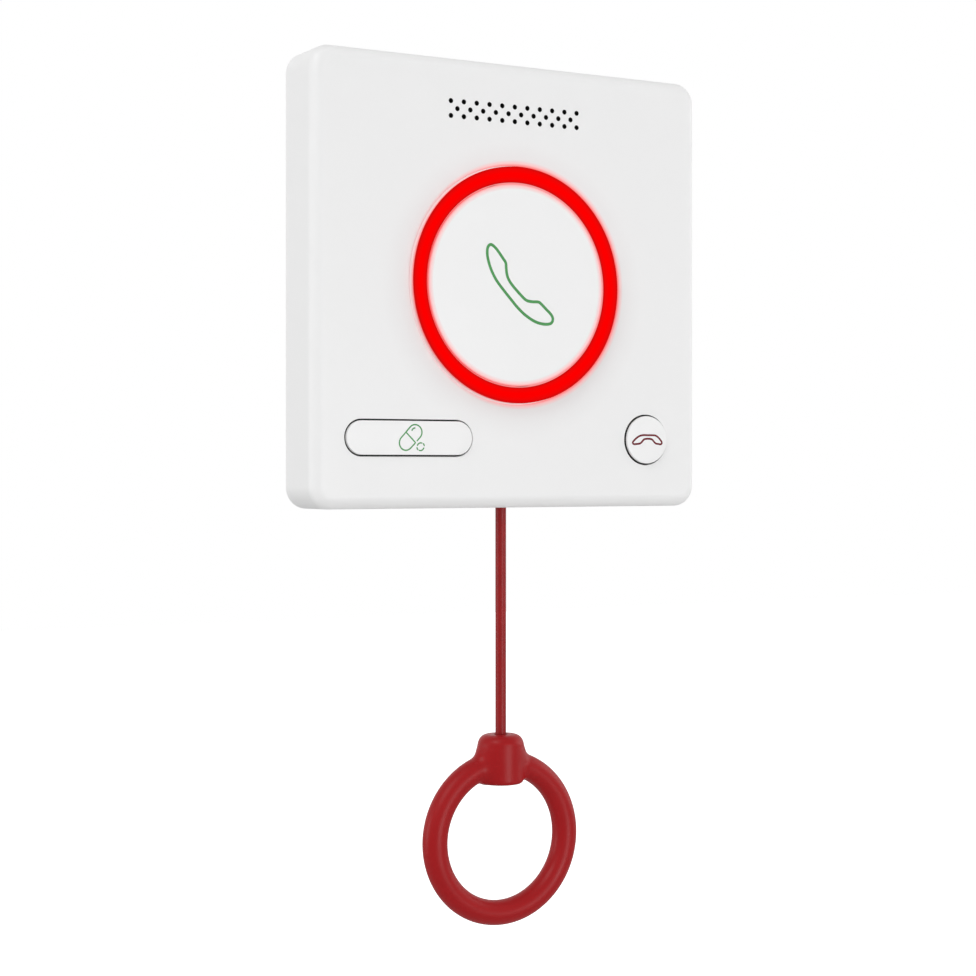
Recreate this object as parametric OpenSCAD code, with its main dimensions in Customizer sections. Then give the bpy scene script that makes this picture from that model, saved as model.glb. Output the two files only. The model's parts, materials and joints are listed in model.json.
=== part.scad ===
// Wall-mounted call button with a speaker, three push buttons and a pull cord.
// Millimetres. X runs to the right, Z up, and the wall is the plane Y = 0.
// The front faces -Y. A level is a distance from the wall towards the front.

/* [Housing] */
// Width of the front cover
body_w = 125; // [123:1:150]
// Height of the front cover
body_h = 125; // [124:1:150]
// Depth of the front cover, from its rear edge to the panel
cover_d = 17.6; // [17.2:0.2:21]
// Shadow gap between the cover's rear edge and the wall
wall_gap = 0.4; // [0.2:0.1:0.8]
// Radius of the cover's four corners, seen from the front
corner_r = 6; // [5:0.5:10]
// Radius of the soft edge round the panel
edge_r = 3.5; // [2.6:0.1:4.4]
// Thickness of the cover's walls
wall_t = 2; // [1.7:0.1:2.3]

/* [Base plate] */
// Thickness of the base plate
base_t = 2; // [1.6:0.1:2.2]
// Gap between the base plate's edge and the cover's walls
base_gap = 0.4; // [0.2:0.05:0.6]
// Space between the base plate and the board
rear_space = 4.4; // [4.2:0.1:4.9]
// Distance between the two wall screws of a pair
screw_spacing = 60; // [57:0.5:64]
// Width of the slots for the wall screws
slot_w = 4.2; // [3.8:0.1:4.8]
// Length of the slots for the wall screws
slot_l = 8; // [6:0.5:9]
// Width of the cable window
window_w = 44; // [38:1:46]
// Height of the cable window
window_h = 34; // [30:1:38]
// Distance of the two top hooks from the middle
hook_x = 35; // [20:1:42]
// Width of a top hook
hook_w = 8; // [6:0.5:12]
// Distance of the two lock screws from the middle
lock_x = 40; // [36:0.5:44]
// Shank diameter of the lock screws
lock_d = 2.5; // [2:0.1:2.6]
// Length of the lock screws
lock_l = 8; // [6:0.5:9]

/* [Speaker] */
// Diameter of the grille holes
hole_d = 1.4; // [1:0.1:1.7]
// Distance between neighbouring holes of one row
hole_pitch = 4.1; // [3.7:0.1:4.2]
// Distance between the rows of holes
row_pitch = 2.05; // [1.8:0.05:2.3]
// Holes in the top and bottom rows, the middle row has one less
row_holes = 11; // [7:1:11]
// Distance from the cover's top edge to the middle row
grille_drop = 14.35; // [13.9:0.05:14.6]
// Thickness of the panel where the holes are
grille_skin = 0.8; // [0.6:0.1:1.2]
// Length of the speaker's frame
speaker_w = 48; // [47:0.5:52]
// Height of the speaker's frame
speaker_h = 16; // [14.5:0.25:19]
// Depth of the speaker's frame
speaker_d = 5; // [4.4:0.1:5.4]
// Thickness of the foam gasket
gasket_t = 0.8; // [0.5:0.1:1.2]
// Width of the gasket's foam
gasket_w = 2; // [1.5:0.1:2.2]
// Thickness of the acoustic mesh
mesh_t = 0.2; // [0.1:0.05:0.4]
// Diameter of the speaker's magnet
magnet_d = 9; // [7:0.5:10]

/* [Light ring] */
// Outer diameter of the light ring
light_outer_d = 66.4; // [60:0.2:70]
// Width of the light ring's face
light_width = 4.5; // [4:0.1:5]
// Height of the ring's outer edge over the panel
light_rise_outer = 1.9; // [1.5:0.1:2.5]
// Height of the ring's inner edge over the panel
light_rise_inner = 1.4; // [1.1:0.1:1.5]
// Thickness of the ring's flange behind the panel
light_flange_t = 1.2; // [0.9:0.1:1.6]
// Width of the ring's flange behind the panel
light_flange_w = 2.2; // [1.6:0.1:2.3]
// Number of lamps under the ring
lamp_count = 12; // [8:1:16]

/* [Call button] */
// Gap round the call button
disc_gap = 0.3; // [0.25:0.05:0.5]
// Height of the call button's rim over the panel
disc_rise = 1.4; // [1.1:0.1:1.5]
// Crown of the call button from its rim to its middle
disc_crown = 0.5; // [0.4:0.1:1.4]
// Thickness of the call button's face
disc_t = 1.8; // [1.4:0.1:2.2]
// Thickness of the call button's skirt
disc_skirt_t = 1.4; // [1:0.1:1.8]
// Travel of the call button
call_travel = 1; // [0.6:0.1:1.2]
// Radius of the circle on which the four return springs stand
call_spring_r = 18; // [15:0.5:20]

/* [Medication button] */
// Distance from the cover's left edge to the button's centre
pill_in = 29.1; // [28.5:0.1:31]
// Distance from the cover's bottom edge to the centres of both small buttons
button_up = 19.4; // [19.2:0.1:19.8]
// Length of the medication button's opening
pill_w = 39.8; // [34:0.2:40.4]
// Height of the medication button's opening
pill_h = 10.5; // [9.5:0.1:11]
// Height of the medication button's face over the panel
pill_rise = 0.9; // [0.5:0.1:1.2]
// Distance between the medication button's two springs
pill_spring_span = 26; // [20:0.5:27]

/* [Hang-up button] */
// Distance from the cover's right edge to the button's centre
hangup_in = 18.3; // [16:0.1:20]
// Diameter of the hang-up button's opening
hangup_d = 15; // [14:0.2:16]
// Height of the hang-up button's face over the panel
hangup_rise = 1.2; // [0.6:0.1:1.4]

/* [Small buttons] */
// Gap round the small buttons
button_gap = 0.6; // [0.3:0.05:0.7]
// Crown of the small buttons' faces
button_crown = 0.3; // [0.2:0.05:0.8]
// Travel of the small buttons
button_travel = 0.8; // [0.5:0.1:1]
// Width of the flange that keeps a small button in
button_flange_w = 1.2; // [0.8:0.1:1.4]

/* [Board] */
// Thickness of the board
board_t = 1.6; // [1.2:0.1:1.8]
// Distance of the board screws from the cover's left and right edges
board_screw_in = 9.5; // [8.5:0.25:10]
// Distance of the upper board screws from the board's top edge
board_screw_drop = 8.5; // [5:0.5:10]
// Distance of the lower board screws from the line of the small buttons
board_screw_rise = 16.1; // [14:0.1:20]
// Shank diameter of the board screws
board_screw_d = 2.3; // [2:0.1:2.5]
// Height of a push switch's body
switch_h = 3.5; // [3:0.1:4]
// Height of a push switch's plunger over its body
switch_tip = 1.5; // [1.2:0.1:1.8]

/* [Pull switch] */
// Distance of the cord from the wall
cord_level = 10; // [9.9:0.05:10.2]
// Travel of the pull switch
pull_travel = 4; // [3:0.25:4.5]
// Diameter of the plunger's nose
nose_d = 8; // [7.8:0.1:8.2]
// Running clearance of the plunger
slide_gap = 0.08; // [0.05:0.01:0.1]
// Wall of the bush that the nose slides in
bush_t = 0.9; // [0.7:0.05:1]
// Length of the return spring at rest
pull_spring_l = 8.5; // [8:0.25:9]
// Wire diameter of the return spring
pull_wire_d = 0.6; // [0.5:0.05:0.65]
// Switch button's movement for each millimetre of the plunger's
ramp_ratio = 0.2; // [0.15:0.01:0.22]

/* [Pull cord and ring] */
// Diameter of the cord
cord_d = 3.1; // [2.8:0.05:3.15]
// Length of cord between the housing and the pull ring
cord_drop = 64.5; // [64.3:0.1:64.8]
// Outer diameter of the pull ring
pull_ring_d = 49.6; // [44:0.2:60]
// Diameter of the pull ring's tube
tube_d = 7.1; // [6.4:0.1:7.6]
// Diameter of the pull ring's hub
hub_d = 13; // [12.4:0.1:14.5]
// Height of the pull ring's hub
hub_h = 14; // [13:0.25:16]
// Rounding of the hub's top edge
hub_round = 2.8; // [1.5:0.1:3.2]
// Distance that the hub reaches into the ring's opening
hub_reach = 2.2; // [1.5:0.1:3]

/* [Hidden] */
$fn = 64;

// Levels of the housing and the board
front_level = wall_gap + cover_d;
inner_level = front_level - wall_t;
board_back = base_t + rear_space;
board_front = board_back + board_t;

// Inside of the cover, seen from the front
inner_w = body_w - 2 * wall_t;
inner_h = body_h - 2 * wall_t;
bottom_z = -body_h / 2;
floor_z = bottom_z + wall_t;
ceiling_z = body_h / 2 - wall_t;

// Small distances that several pieces share
face_gap = 0.1;    // between faces that stop a moving piece
seat_gap = 0.05;   // between a screw, a peg or a spring and its seat
part_gap = 0.3;    // beside a moving piece, and round a piece held in ribs
cut = 1;           // how far a cut runs past the face it opens
rib_t = 1;         // thickness of the cover's ribs

// Base plate
base_w = inner_w - 2 * base_gap;
base_h = inner_h - 2 * base_gap;
hook_t = 1.8;
nib_h = 1.1;
nib_t = 1.4;
ledge_t = 1.6;
ledge_level = base_t + 0.4;
nib_level = ledge_level + ledge_t + face_gap;
lock_level = base_t + 2;
lug_w = 8;
lug_h = 5.6;
lug_t = rear_space - 0.3;
lock_head_d = lock_d + 2.2;
lock_head_h = 1.2;
window_corner = 3;
plate_rib_z = window_h / 2 + 3;
plate_rib_in = 12;
plate_rib_h = 1.2;
ledge_side = 1;
guide_rib_gap = 1;
guide_rib_h = 4.5;

// Board
board_side_gap = 3.5;
board_floor_gap = 4;
board_w = inner_w - 2 * board_side_gap;
board_bottom = floor_z + board_floor_gap;
board_top = body_h / 2 - grille_drop - speaker_h / 2 - 1.65;
board_corner = 3;
board_screw_x = body_w / 2 - board_screw_in;
board_screw_top = board_top - board_screw_drop;
board_screw_low = bottom_z + button_up + board_screw_rise;
boss_r = 3;
board_screw_l = 6;
board_head_r = 2.3;
board_head_t = 1.5;
screw_room = 0.5;   // hole depth past a screw's end

// Parts on the board's front, placed from its side edges and its upper screws. A chip is
// its distance from the right edge, its distance under the screws and its width.
radio_size = [15, 12, 0.8];
radio_lid = [13.4, 8.4, 2.2];
radio_in = 3;
radio_drop = boss_r + 1;
chip_t = 1;
chips = [[9, 28, 9], [11, 40, 6]];
driver_chip = [0, -13, 5];
can_d = 6.3;
can_l = 5.4;
cans = [[9.5, 8.5], [17.5, 6]];
choke = [8.5, 17.5];
choke_w = 7;
choke_t = 3;

// Speaker
grille_z = body_h / 2 - grille_drop;
// Recess behind the grille, with room round its outer holes
grille_room = 0.8;
grille_w = (row_holes - 1) * hole_pitch + hole_d + 2 * grille_room;
grille_h = 2 * row_pitch + hole_d + 2 * grille_room;
speaker_front = inner_level - mesh_t - gasket_t;
speaker_back = speaker_front - speaker_d;
speaker_wall = 1;
speaker_rib_h = mesh_t + gasket_t + 0.5 * speaker_d;
ear_r = 2.4;
ear_t = 1.2;
ear_x = speaker_w / 2 + ear_r + 0.8;
ear_screw_d = 1.9;
cone_ledge = 0.9;
cone_w = speaker_w - 2 * speaker_wall;
cone_h = speaker_h - 2 * speaker_wall;
cone_t = 0.5;
cone_coil_d = magnet_d - 3;
cone_coil_l = 3.4;
magnet_l = 3.6;
magnet_lip = 0.8;
end_rib_in = 4;
socket_size = [6, 4.5, 4.2];
tag_size = [6, 2, 1.5];
tag_x = 5 - speaker_w / 2;
tag_z = grille_z - 4.65;
socket_x = tag_x - 12;
socket_top = board_top - 5;
wire_r = 0.4;
wire_side = 1.4;

// Light ring and its reflector
light_inner_d = light_outer_d - 2 * light_width;
light_base = inner_level - light_flange_t;
light_edge = 0.3;
flange_r = light_outer_d / 2 + light_flange_w;
reflector_wall = 1;
reflector_floor = 0.8;
lamp_size = [2.8, 3.5, 1.9];
lamp_window = 0.3;

// Call button
disc_r = light_inner_d / 2 - disc_gap;
disc_rim = front_level + disc_rise;
disc_under = disc_rim - disc_t;
lug_out = disc_r + 1.8;
button_lug_t = 1.4;
button_lug_top = light_base - face_gap;
button_lug_base = button_lug_top - button_lug_t;
button_lug_angle = 12;
button_lug_turns = [90, 210, 330];
reflector_inner = disc_r + part_gap + 0.1;
lamp_r = (reflector_inner + flange_r) / 2;
stem_r = 2.2;
coil_r = 2.3;
coil_wire = 0.45;
coil_turns = 5;
coil_steps = 8;
post_r = 1.6;
post_l = 3.6;
cup_h = 3;
cup_wall = 0.8;
cup_r = coil_r + coil_wire / 2 + part_gap + cup_wall;
cup_floor = 0.8;
arm_w = 2;
arm_l = reflector_inner + reflector_wall / 2 - call_spring_r - cup_r + cup_wall;
call_spring_turns = [45, 135, 225, 315];

// Small buttons
pill_x = pill_in - body_w / 2;
hangup_x = body_w / 2 - hangup_in;
button_z = bottom_z + button_up;
button_flange_t = 1.5;
button_flange_top = inner_level - face_gap;
button_base = button_flange_top - button_flange_t;
button_roof = 1.5;
button_shell = 1.3;
well_h = button_flange_t + face_gap + button_travel + 1.2;
key_w = 1.6;

// Push switches
switch_w = 6;
switch_r = 1.75;
switch_hold = 1;
switch_top = board_front + switch_h;
tip_level = switch_top + switch_tip;

// Terminal block on the back of the board
terminal_count = 4;
terminal_pitch = 5;
terminal_size = [terminal_count * terminal_pitch, 8, board_back - wall_gap - 0.2];
terminal_z = 4;
terminal_hole_r = 1.25;
terminal_screw_r = 1.5;

// Microphone
microphone_x = 23;
microphone_r = 3;
microphone_h = 2.2;
boot_t = 0.8;
boot_r = microphone_r + seat_gap + boot_t;
inner_edge_r = edge_r - wall_t;
microphone_level = inner_level - inner_edge_r - boot_r - part_gap;
sound_hole_r = 0.7;

// Pull switch. The plunger's nose starts just inside the cover's bottom face.
nose_r = nose_d / 2;
nose_in = 0.5;
nose_z = bottom_z + nose_in;
pivot_z = nose_z + 3.5;
coil_gap = 0.1;
pull_coil_r = (nose_r + coil_gap + pull_wire_d / 2) / cos(180 / coil_steps);
head_r = pull_coil_r + pull_wire_d / 2 + seat_gap;
bush_r = nose_r + slide_gap + bush_t;
bush_flange_r = bush_r + 1.2;
bush_flange_t = 1;
bush_flat = inner_level - face_gap - cord_level;
guide_r = head_r + slide_gap;
guide_half = guide_r + 1.9;
guide_roof = 1.5;
head_z = floor_z + bush_flange_t + pull_spring_l;
head_l = pull_travel + 5;
guide_top = head_z + head_l + face_gap + guide_roof;
rib_w = 3;
switch_z = head_z + 1.4;
tip_r = 0.6;
tip_x = guide_half + 2;
ramp_angle = atan(ramp_ratio);
ramp_over = 1.3;
pull_body = [6.5, 5.8, 12.8];
pull_button_out = 1.2;
pull_button_l = 4;
pull_button_w = 2.9;
button_press = ramp_ratio * pull_travel;

// Seat of the upper knot in the nose. Heights are measured down from the pivot.
knot_r = 3.2;
knot_cut = 2;
knot_bore_r = knot_r + 0.1;
seat_low = 1.9;
seat_r = 2.6;
mouth_r = 3.2;
cord_r = cord_d / 2;
socket_r = cord_r + 0.07;
cord_tilt = 15;

// Pull ring
hub_top = bottom_z - cord_drop;
hub_bottom = hub_top - hub_h;
hub_r = hub_d / 2;
tube_r = tube_d / 2;
ring_middle_r = pull_ring_d / 2 - tube_r;
ring_z = hub_bottom + hub_reach - (ring_middle_r - tube_r);
hub_hole_r = cord_r + 0.2;
ring_knot_r = 3.4;
ring_knot_flat = 3;
hub_pocket_r = ring_knot_r + 0.4;
web_round = 3.5;
web_tube = 2.2;
web_sink = 0.15;

// Route of the cord, from the middle of the upper knot down to the lower knot
cord_route = [
    [0, -10, -58.5], [0, -10, -63], [0, -10, -68], [0, -10, -73],
    [0, -10, -78], [0, -10, -83], [0, -10, -88], [0, -10, -93],
    [0, -10, -98], [0, -10, -103], [0, -10, -108], [0, -10, -113],
    [0, -10, -118], [0, -10, -123], [0, -10, -128], [0, -10, -133]
];
cord_end_z = cord_route[len(cord_route) - 1][2];

// Draws in the panel's plane: local X and Y are the row's X and Z, local Z is the level
module facing() {
    rotate([90, 0, 0]) children();
}

// Moves along the level
module level(distance) {
    translate([0, 0, distance]) children();
}

// Stands a piece upright at a place beside the wall
module upright(x, from_wall, z) {
    translate([x, -from_wall, z]) children();
}

module round_rect(w, h, r) {
    square([w - 2 * r, h], center = true);
    square([w, h - 2 * r], center = true);
    for (x = [-1, 1], y = [-1, 1]) {
        translate([x * (w / 2 - r), y * (h / 2 - r)]) circle(r);
    }
}

// Oblong with round ends, wider than it is high
module stadium(w, h) {
    square([w - h, h], center = true);
    for (side = [-1, 1]) translate([side * (w - h) / 2, 0]) circle(h / 2);
}

// Profile of a soft-edged side: its width inwards, its depth, and the edge's radius
module edge_profile(width, depth, edge) {
    square([width, depth - edge]);
    square([width - edge, depth]);
    translate([width - edge, depth - edge]) intersection() {
        circle(edge);
        square(edge);
    }
}

// Box with round corners, whose front edge is rounded. It stands on level 0.
module soft_box(w, h, depth, corner, edge) {
    linear_extrude(depth) square([w - 2 * corner, h - 2 * corner], center = true);
    for (turn = [0, 180]) {
        rotate(turn) translate([w / 2 - corner, 0, 0]) rotate([90, 0, 0])
            linear_extrude(h - 2 * corner, center = true) edge_profile(corner, depth, edge);
        rotate(turn) translate([0, h / 2 - corner, 0]) rotate([90, 0, 90])
            linear_extrude(w - 2 * corner, center = true) edge_profile(corner, depth, edge);
    }
    for (side = [[1, 1, 0], [-1, 1, 90], [-1, -1, 180], [1, -1, 270]]) {
        translate([side[0] * (w / 2 - corner), side[1] * (h / 2 - corner), 0]) rotate(side[2])
            rotate_extrude(angle = 90) edge_profile(corner, depth, edge);
    }
}

// Height of a crowned face at a distance from its middle
function crown_at(x, half, top, crown) = top - crown * x * x / (half * half);

// Crowned profile from the axis outwards, or to both sides. Its middle is as high as top.
module crown_profile(half, base, top, crown, steps, both = false) {
    first = both ? -steps : 0;
    polygon(concat(
        [[half * first / steps, base]],
        [for (i = [first : steps])
            let (x = half * i / steps)
            [x, crown_at(x, half, top, crown)]],
        [[half, base]]
    ));
}

// Points of a ring of sides round a point, square to a direction
function unit(v) = v / norm(v);
function ring_points(point, along, up, radius, sides) =
    let (side = unit(cross(along, up)), rise = cross(unit(side), unit(along)))
    [for (i = [0 : sides - 1])
        let (turn = 360 * i / sides)
        point + radius * (cos(turn) * side + sin(turn) * rise)];

// Tube along a list of points. The direction up is never along the route.
module tube(route, radius, sides, up) {
    last = len(route) - 1;
    points = [for (i = [0 : last])
        let (along = route[min(i + 1, last)] - route[max(i - 1, 0)])
        each ring_points(route[i], along, up, radius, sides)];
    walls = [for (i = [0 : last - 1], j = [0 : sides - 1])
        let (a = i * sides + j, b = i * sides + (j + 1) % sides)
        each [[a, b + sides, b], [a, a + sides, b + sides]]];
    start = [for (j = [1 : sides - 2]) [0, j, j + 1]];
    end = [for (j = [1 : sides - 2]) [last * sides, last * sides + j + 1, last * sides + j]];
    polyhedron(points = points, faces = concat(walls, start, end));
}

// Coil spring that stands on level 0 and is as long as length
module coil(radius, wire, length, turns) {
    rise = length - wire;
    route = [for (i = [0 : coil_steps * turns])
        let (turn = 360 * i / coil_steps)
        [radius * cos(turn), radius * sin(turn), wire / 2 + rise * i / (coil_steps * turns)]];
    tube(route, wire / 2, 6, [0, 0, 1]);
}

// Body of a push switch on the board, with its four feet
module switch_body(travel) {
    foot = [1, 0.8, 0.3];
    level(board_front) difference() {
        union() {
            linear_extrude(switch_h) square(switch_w, center = true);
            for (x = [-1, 1], y = [-1, 1]) {
                translate([x * switch_w / 2 - foot[0] / 2, y * switch_w / 4 - foot[1] / 2, 0])
                    cube(foot);
            }
        }
        level(switch_h - switch_hold - travel - 0.2) cylinder(r = switch_r + face_gap, h = switch_h);
    }
}

module switch_plunger() {
    level(switch_top - switch_hold) cylinder(r = switch_r, h = switch_hold + switch_tip);
}

// Wire springs of a button, from a seat level to the cap's underside
module button_spring(from, to) {
    level(from + seat_gap) coil(coil_r, coil_wire, to - from - 2 * seat_gap, coil_turns);
}

// Places of the board's four screws
module at_board_screws() {
    for (x = [-1, 1], z = [board_screw_top, board_screw_low]) {
        translate([x * board_screw_x, z, 0]) children();
    }
}

module at_speaker_ears() {
    for (side = [-1, 1]) translate([side * ear_x, grille_z, 0]) children();
}

module at_call_springs() {
    for (turn = call_spring_turns) rotate(turn) translate([call_spring_r, 0, 0]) children();
}

module at_pill_springs() {
    for (side = [-1, 1]) translate([pill_x + side * pill_spring_span / 2, button_z, 0]) children();
}

// Rounded wall standing on the panel's inner face round a stadium-shaped piece
module well(w, h, height) {
    level(inner_level - height) linear_extrude(height + wall_t / 2) difference() {
        stadium(w + 2 * (part_gap + rib_t), h + 2 * (part_gap + rib_t));
        stadium(w + 2 * part_gap, h + 2 * part_gap);
    }
}

// The same wall round a round piece
module round_well(d, height) {
    level(inner_level - height) difference() {
        cylinder(d = d + 2 * (part_gap + rib_t), h = height + wall_t / 2);
        level(-cut) cylinder(d = d + 2 * part_gap, h = height + wall_t / 2 + 2 * cut);
    }
}

module grille_holes() {
    for (row = [-1, 0, 1]) {
        holes = row == 0 ? row_holes - 1 : row_holes;
        for (i = [0 : holes - 1]) {
            translate([(i - (holes - 1) / 2) * hole_pitch, grille_z + row * row_pitch, 0])
                children();
        }
    }
}

// Outline of a small button's flange and of the wall round it
function flange_size(opening) = opening + 2 * button_flange_w;

module cover_ribs() {
    translate([pill_x, button_z, 0]) well(flange_size(pill_w), flange_size(pill_h), well_h);
    translate([hangup_x, button_z, 0]) round_well(flange_size(hangup_d), well_h);
    translate([hangup_x - key_w / 2 + button_gap / 2, button_z + hangup_d / 2 + part_gap, 0])
        level(inner_level - well_h)
            cube([key_w - button_gap, button_flange_w + rib_t / 2, well_h + wall_t / 2]);
    translate([0, grille_z, 0]) difference() {
        well(speaker_w, speaker_h, speaker_rib_h);
        level(inner_level - speaker_rib_h - cut) linear_extrude(speaker_rib_h + cut + wall_t)
            square([speaker_w - speaker_h + 2 * end_rib_in, 2 * speaker_h], center = true);
    }
    at_speaker_ears() level(speaker_back + ear_t)
        cylinder(r = ear_r, h = inner_level - speaker_back - ear_t + wall_t / 2);
    at_board_screws() level(board_front)
        cylinder(r = boss_r, h = inner_level - board_front + wall_t / 2);
    for (side = [-1, 1]) {
        rib_x = side * (guide_half + part_gap / 2 + rib_t / 2);
        translate([rib_x - rib_t / 2, floor_z - wall_t / 2, base_t + guide_rib_gap])
            cube([rib_t, wall_t / 2 + guide_rib_h, inner_level - base_t - guide_rib_gap + wall_t / 2]);
        translate([side * hook_x - hook_w / 2 - ledge_side, ceiling_z - nib_h, ledge_level])
            cube([hook_w + 2 * ledge_side, nib_h + wall_t / 2, ledge_t]);
    }
}

module front_cover() color("white") difference() {
    facing() union() {
        difference() {
            level(wall_gap) soft_box(body_w, body_h, cover_d, corner_r, edge_r);
            level(wall_gap - cut)
                soft_box(inner_w, inner_h, cover_d - wall_t + cut, corner_r - wall_t, edge_r - wall_t);
        }
        cover_ribs();
    }
    facing() {
        level(inner_level - cut) {
            cylinder(d = light_outer_d + 2 * face_gap, h = wall_t + 2 * cut);
            translate([pill_x, button_z, 0]) linear_extrude(wall_t + 2 * cut) stadium(pill_w, pill_h);
            translate([hangup_x, button_z, 0]) cylinder(d = hangup_d, h = wall_t + 2 * cut);
            grille_holes() cylinder(d = hole_d, h = wall_t + 2 * cut);
            translate([0, grille_z, 0]) linear_extrude(wall_t - grille_skin + cut)
                round_rect(grille_w, grille_h, grille_room);
        }
        at_board_screws() level(board_front - cut)
            cylinder(d = board_screw_d + 2 * seat_gap, h = board_screw_l + cut + screw_room);
        at_speaker_ears() level(speaker_back)
            cylinder(d = ear_screw_d + 2 * seat_gap, h = inner_level - speaker_back - screw_room);
    }
    upright(0, cord_level, bottom_z - cut) cylinder(r = bush_r + seat_gap, h = wall_t + 2 * cut);
    translate([-guide_half - seat_gap, -inner_level, floor_z])
        cube([2 * (guide_half + seat_gap), inner_edge_r + cut, inner_edge_r + cut]);
    upright(microphone_x, microphone_level, bottom_z - cut)
        cylinder(r = sound_hole_r, h = wall_t + 2 * cut);
    for (side = [-1, 1]) upright(side * lock_x, lock_level, bottom_z) {
        level(-cut) cylinder(d = lock_d + screw_room, h = wall_t + 2 * cut);
        level(-cut) cylinder(d = lock_head_d + 2 * face_gap, h = cut + lock_head_h + face_gap);
    }
}

module base_plate() color("gainsboro") difference() {
    facing() union() {
        linear_extrude(base_t) round_rect(base_w, base_h, corner_r - wall_t - base_gap);
        for (side = [-1, 1]) {
            translate([side * lock_x - lug_w / 2, -base_h / 2, base_t / 2])
                cube([lug_w, lug_h, base_t / 2 + lug_t]);
            translate([plate_rib_in - base_w / 2, side * plate_rib_z - rib_t / 2, base_t / 2])
                cube([base_w - 2 * plate_rib_in, rib_t, base_t / 2 + plate_rib_h]);
            translate([side * hook_x - hook_w / 2, 0, 0]) {
                translate([0, base_h / 2 - nib_h - hook_t, base_t / 2])
                    cube([hook_w, hook_t, nib_level + nib_t - base_t / 2]);
                translate([0, base_h / 2 - nib_h - hook_t / 2, nib_level])
                    cube([hook_w, nib_h + hook_t / 2, nib_t]);
            }
        }
    }
    facing() level(-cut) linear_extrude(base_t + 2 * cut) {
        round_rect(window_w, window_h, window_corner);
        for (side = [-1, 1]) {
            translate([side * screw_spacing / 2, 0]) stadium(slot_l, slot_w);
            translate([0, side * screw_spacing / 2]) rotate(90) stadium(slot_l, slot_w);
        }
    }
    for (side = [-1, 1]) upright(side * lock_x, lock_level, -base_h / 2 - cut)
        cylinder(d = lock_d + 2 * seat_gap, h = lug_h + 2 * cut);
}

module lock_screws() color("silver") {
    for (side = [-1, 1]) upright(side * lock_x, lock_level, bottom_z) difference() {
        union() {
            level(face_gap / 2) cylinder(d = lock_head_d, h = lock_head_h);
            level(lock_head_h / 2) cylinder(d = lock_d, h = lock_l);
        }
        translate([-0.3, -lock_head_d / 2, face_gap / 2 - cut]) cube([0.6, lock_head_d, cut + 0.6]);
    }
}

module speaker_mesh() color("dimgray") facing() translate([0, grille_z, inner_level - mesh_t])
    linear_extrude(mesh_t) stadium(speaker_w, speaker_h);

module speaker_gasket() color("black") facing() translate([0, grille_z, speaker_front])
    linear_extrude(gasket_t) difference() {
        stadium(speaker_w, speaker_h);
        stadium(speaker_w - 2 * gasket_w, speaker_h - 2 * gasket_w);
    }

module speaker_frame() color("dimgray") facing() difference() {
    union() {
        translate([0, grille_z, speaker_back]) linear_extrude(speaker_d) stadium(speaker_w, speaker_h);
        at_speaker_ears() level(speaker_back) {
            cylinder(r = ear_r, h = ear_t);
        }
        translate([-ear_x, grille_z - ear_r, speaker_back]) cube([2 * ear_x, 2 * ear_r, ear_t]);
        translate([tag_x - tag_size[0] / 2, tag_z, speaker_back - tag_size[2]])
            cube(tag_size + [0, 0, speaker_wall / 2]);
    }
    translate([0, grille_z, speaker_front - cone_ledge]) linear_extrude(speaker_d)
        stadium(cone_w, cone_h);
    translate([0, grille_z, speaker_back + speaker_wall]) linear_extrude(speaker_d)
        stadium(cone_w - 2, cone_h - 2);
    translate([0, grille_z, speaker_back - cut]) cylinder(d = magnet_d, h = speaker_d);
    at_speaker_ears() level(speaker_back - cut)
        cylinder(d = ear_screw_d + 0.3, h = ear_t + 2 * cut);
}

module speaker_cone() color("darkslategray") facing() translate([0, grille_z, speaker_front - cone_ledge]) {
    linear_extrude(cone_t) stadium(cone_w - 2 * seat_gap, cone_h - 2 * seat_gap);
    level(cone_t - cone_coil_l) difference() {
        cylinder(d = cone_coil_d, h = cone_coil_l);
        level(-cut) cylinder(d = cone_coil_d - 0.6, h = cone_coil_l + cut - cone_t / 2);
    }
}

module speaker_magnet() color("silver") facing()
    translate([0, grille_z, speaker_back + speaker_wall + magnet_lip - magnet_l]) difference() {
        union() {
            cylinder(d = magnet_d - 2 * seat_gap, h = magnet_l);
            level(magnet_l - magnet_lip) cylinder(d = magnet_d + 1.2, h = magnet_lip);
        }
        level(1) difference() {
            cylinder(d = cone_coil_d + 1, h = magnet_l);
            level(-cut) cylinder(d = cone_coil_d - 1.6, h = magnet_l + 2 * cut);
        }
    }

module speaker_screws() color("silver") facing() at_speaker_ears() level(speaker_back) {
    level(-1) cylinder(r = ear_r - 0.5, h = 1);
    cylinder(d = ear_screw_d, h = inner_level - speaker_back - 1.2);
}

// Socket on the board for the speaker's wires
module speaker_socket() color("ivory") facing()
    translate([socket_x - socket_size[0] / 2, socket_top - socket_size[1], board_front])
        cube(socket_size);

// Two wires from the socket's top side to the speaker's solder tags
module speaker_wires() {
    from = [socket_x, socket_top + 1, board_front + socket_size[2] / 2];
    to = [tag_x, tag_z - 1, speaker_back - tag_size[2] / 2];
    for (side = [-1, 1]) {
        aside = [side * wire_side, 0, 0];
        color(side < 0 ? "red" : "black") facing() tube(concat(
            [from + aside - [0, 1, 0]],
            [for (i = [0 : 8])
                let (t = i / 8, ease = t * t * (3 - 2 * t))
                from + aside + [(to[0] - from[0]) * ease, (to[1] - from[1]) * t, (to[2] - from[2]) * ease]],
            [to + aside + [0, 1, 0]]
        ), wire_r, 8, [0, 0, 1]);
    }
}

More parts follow.
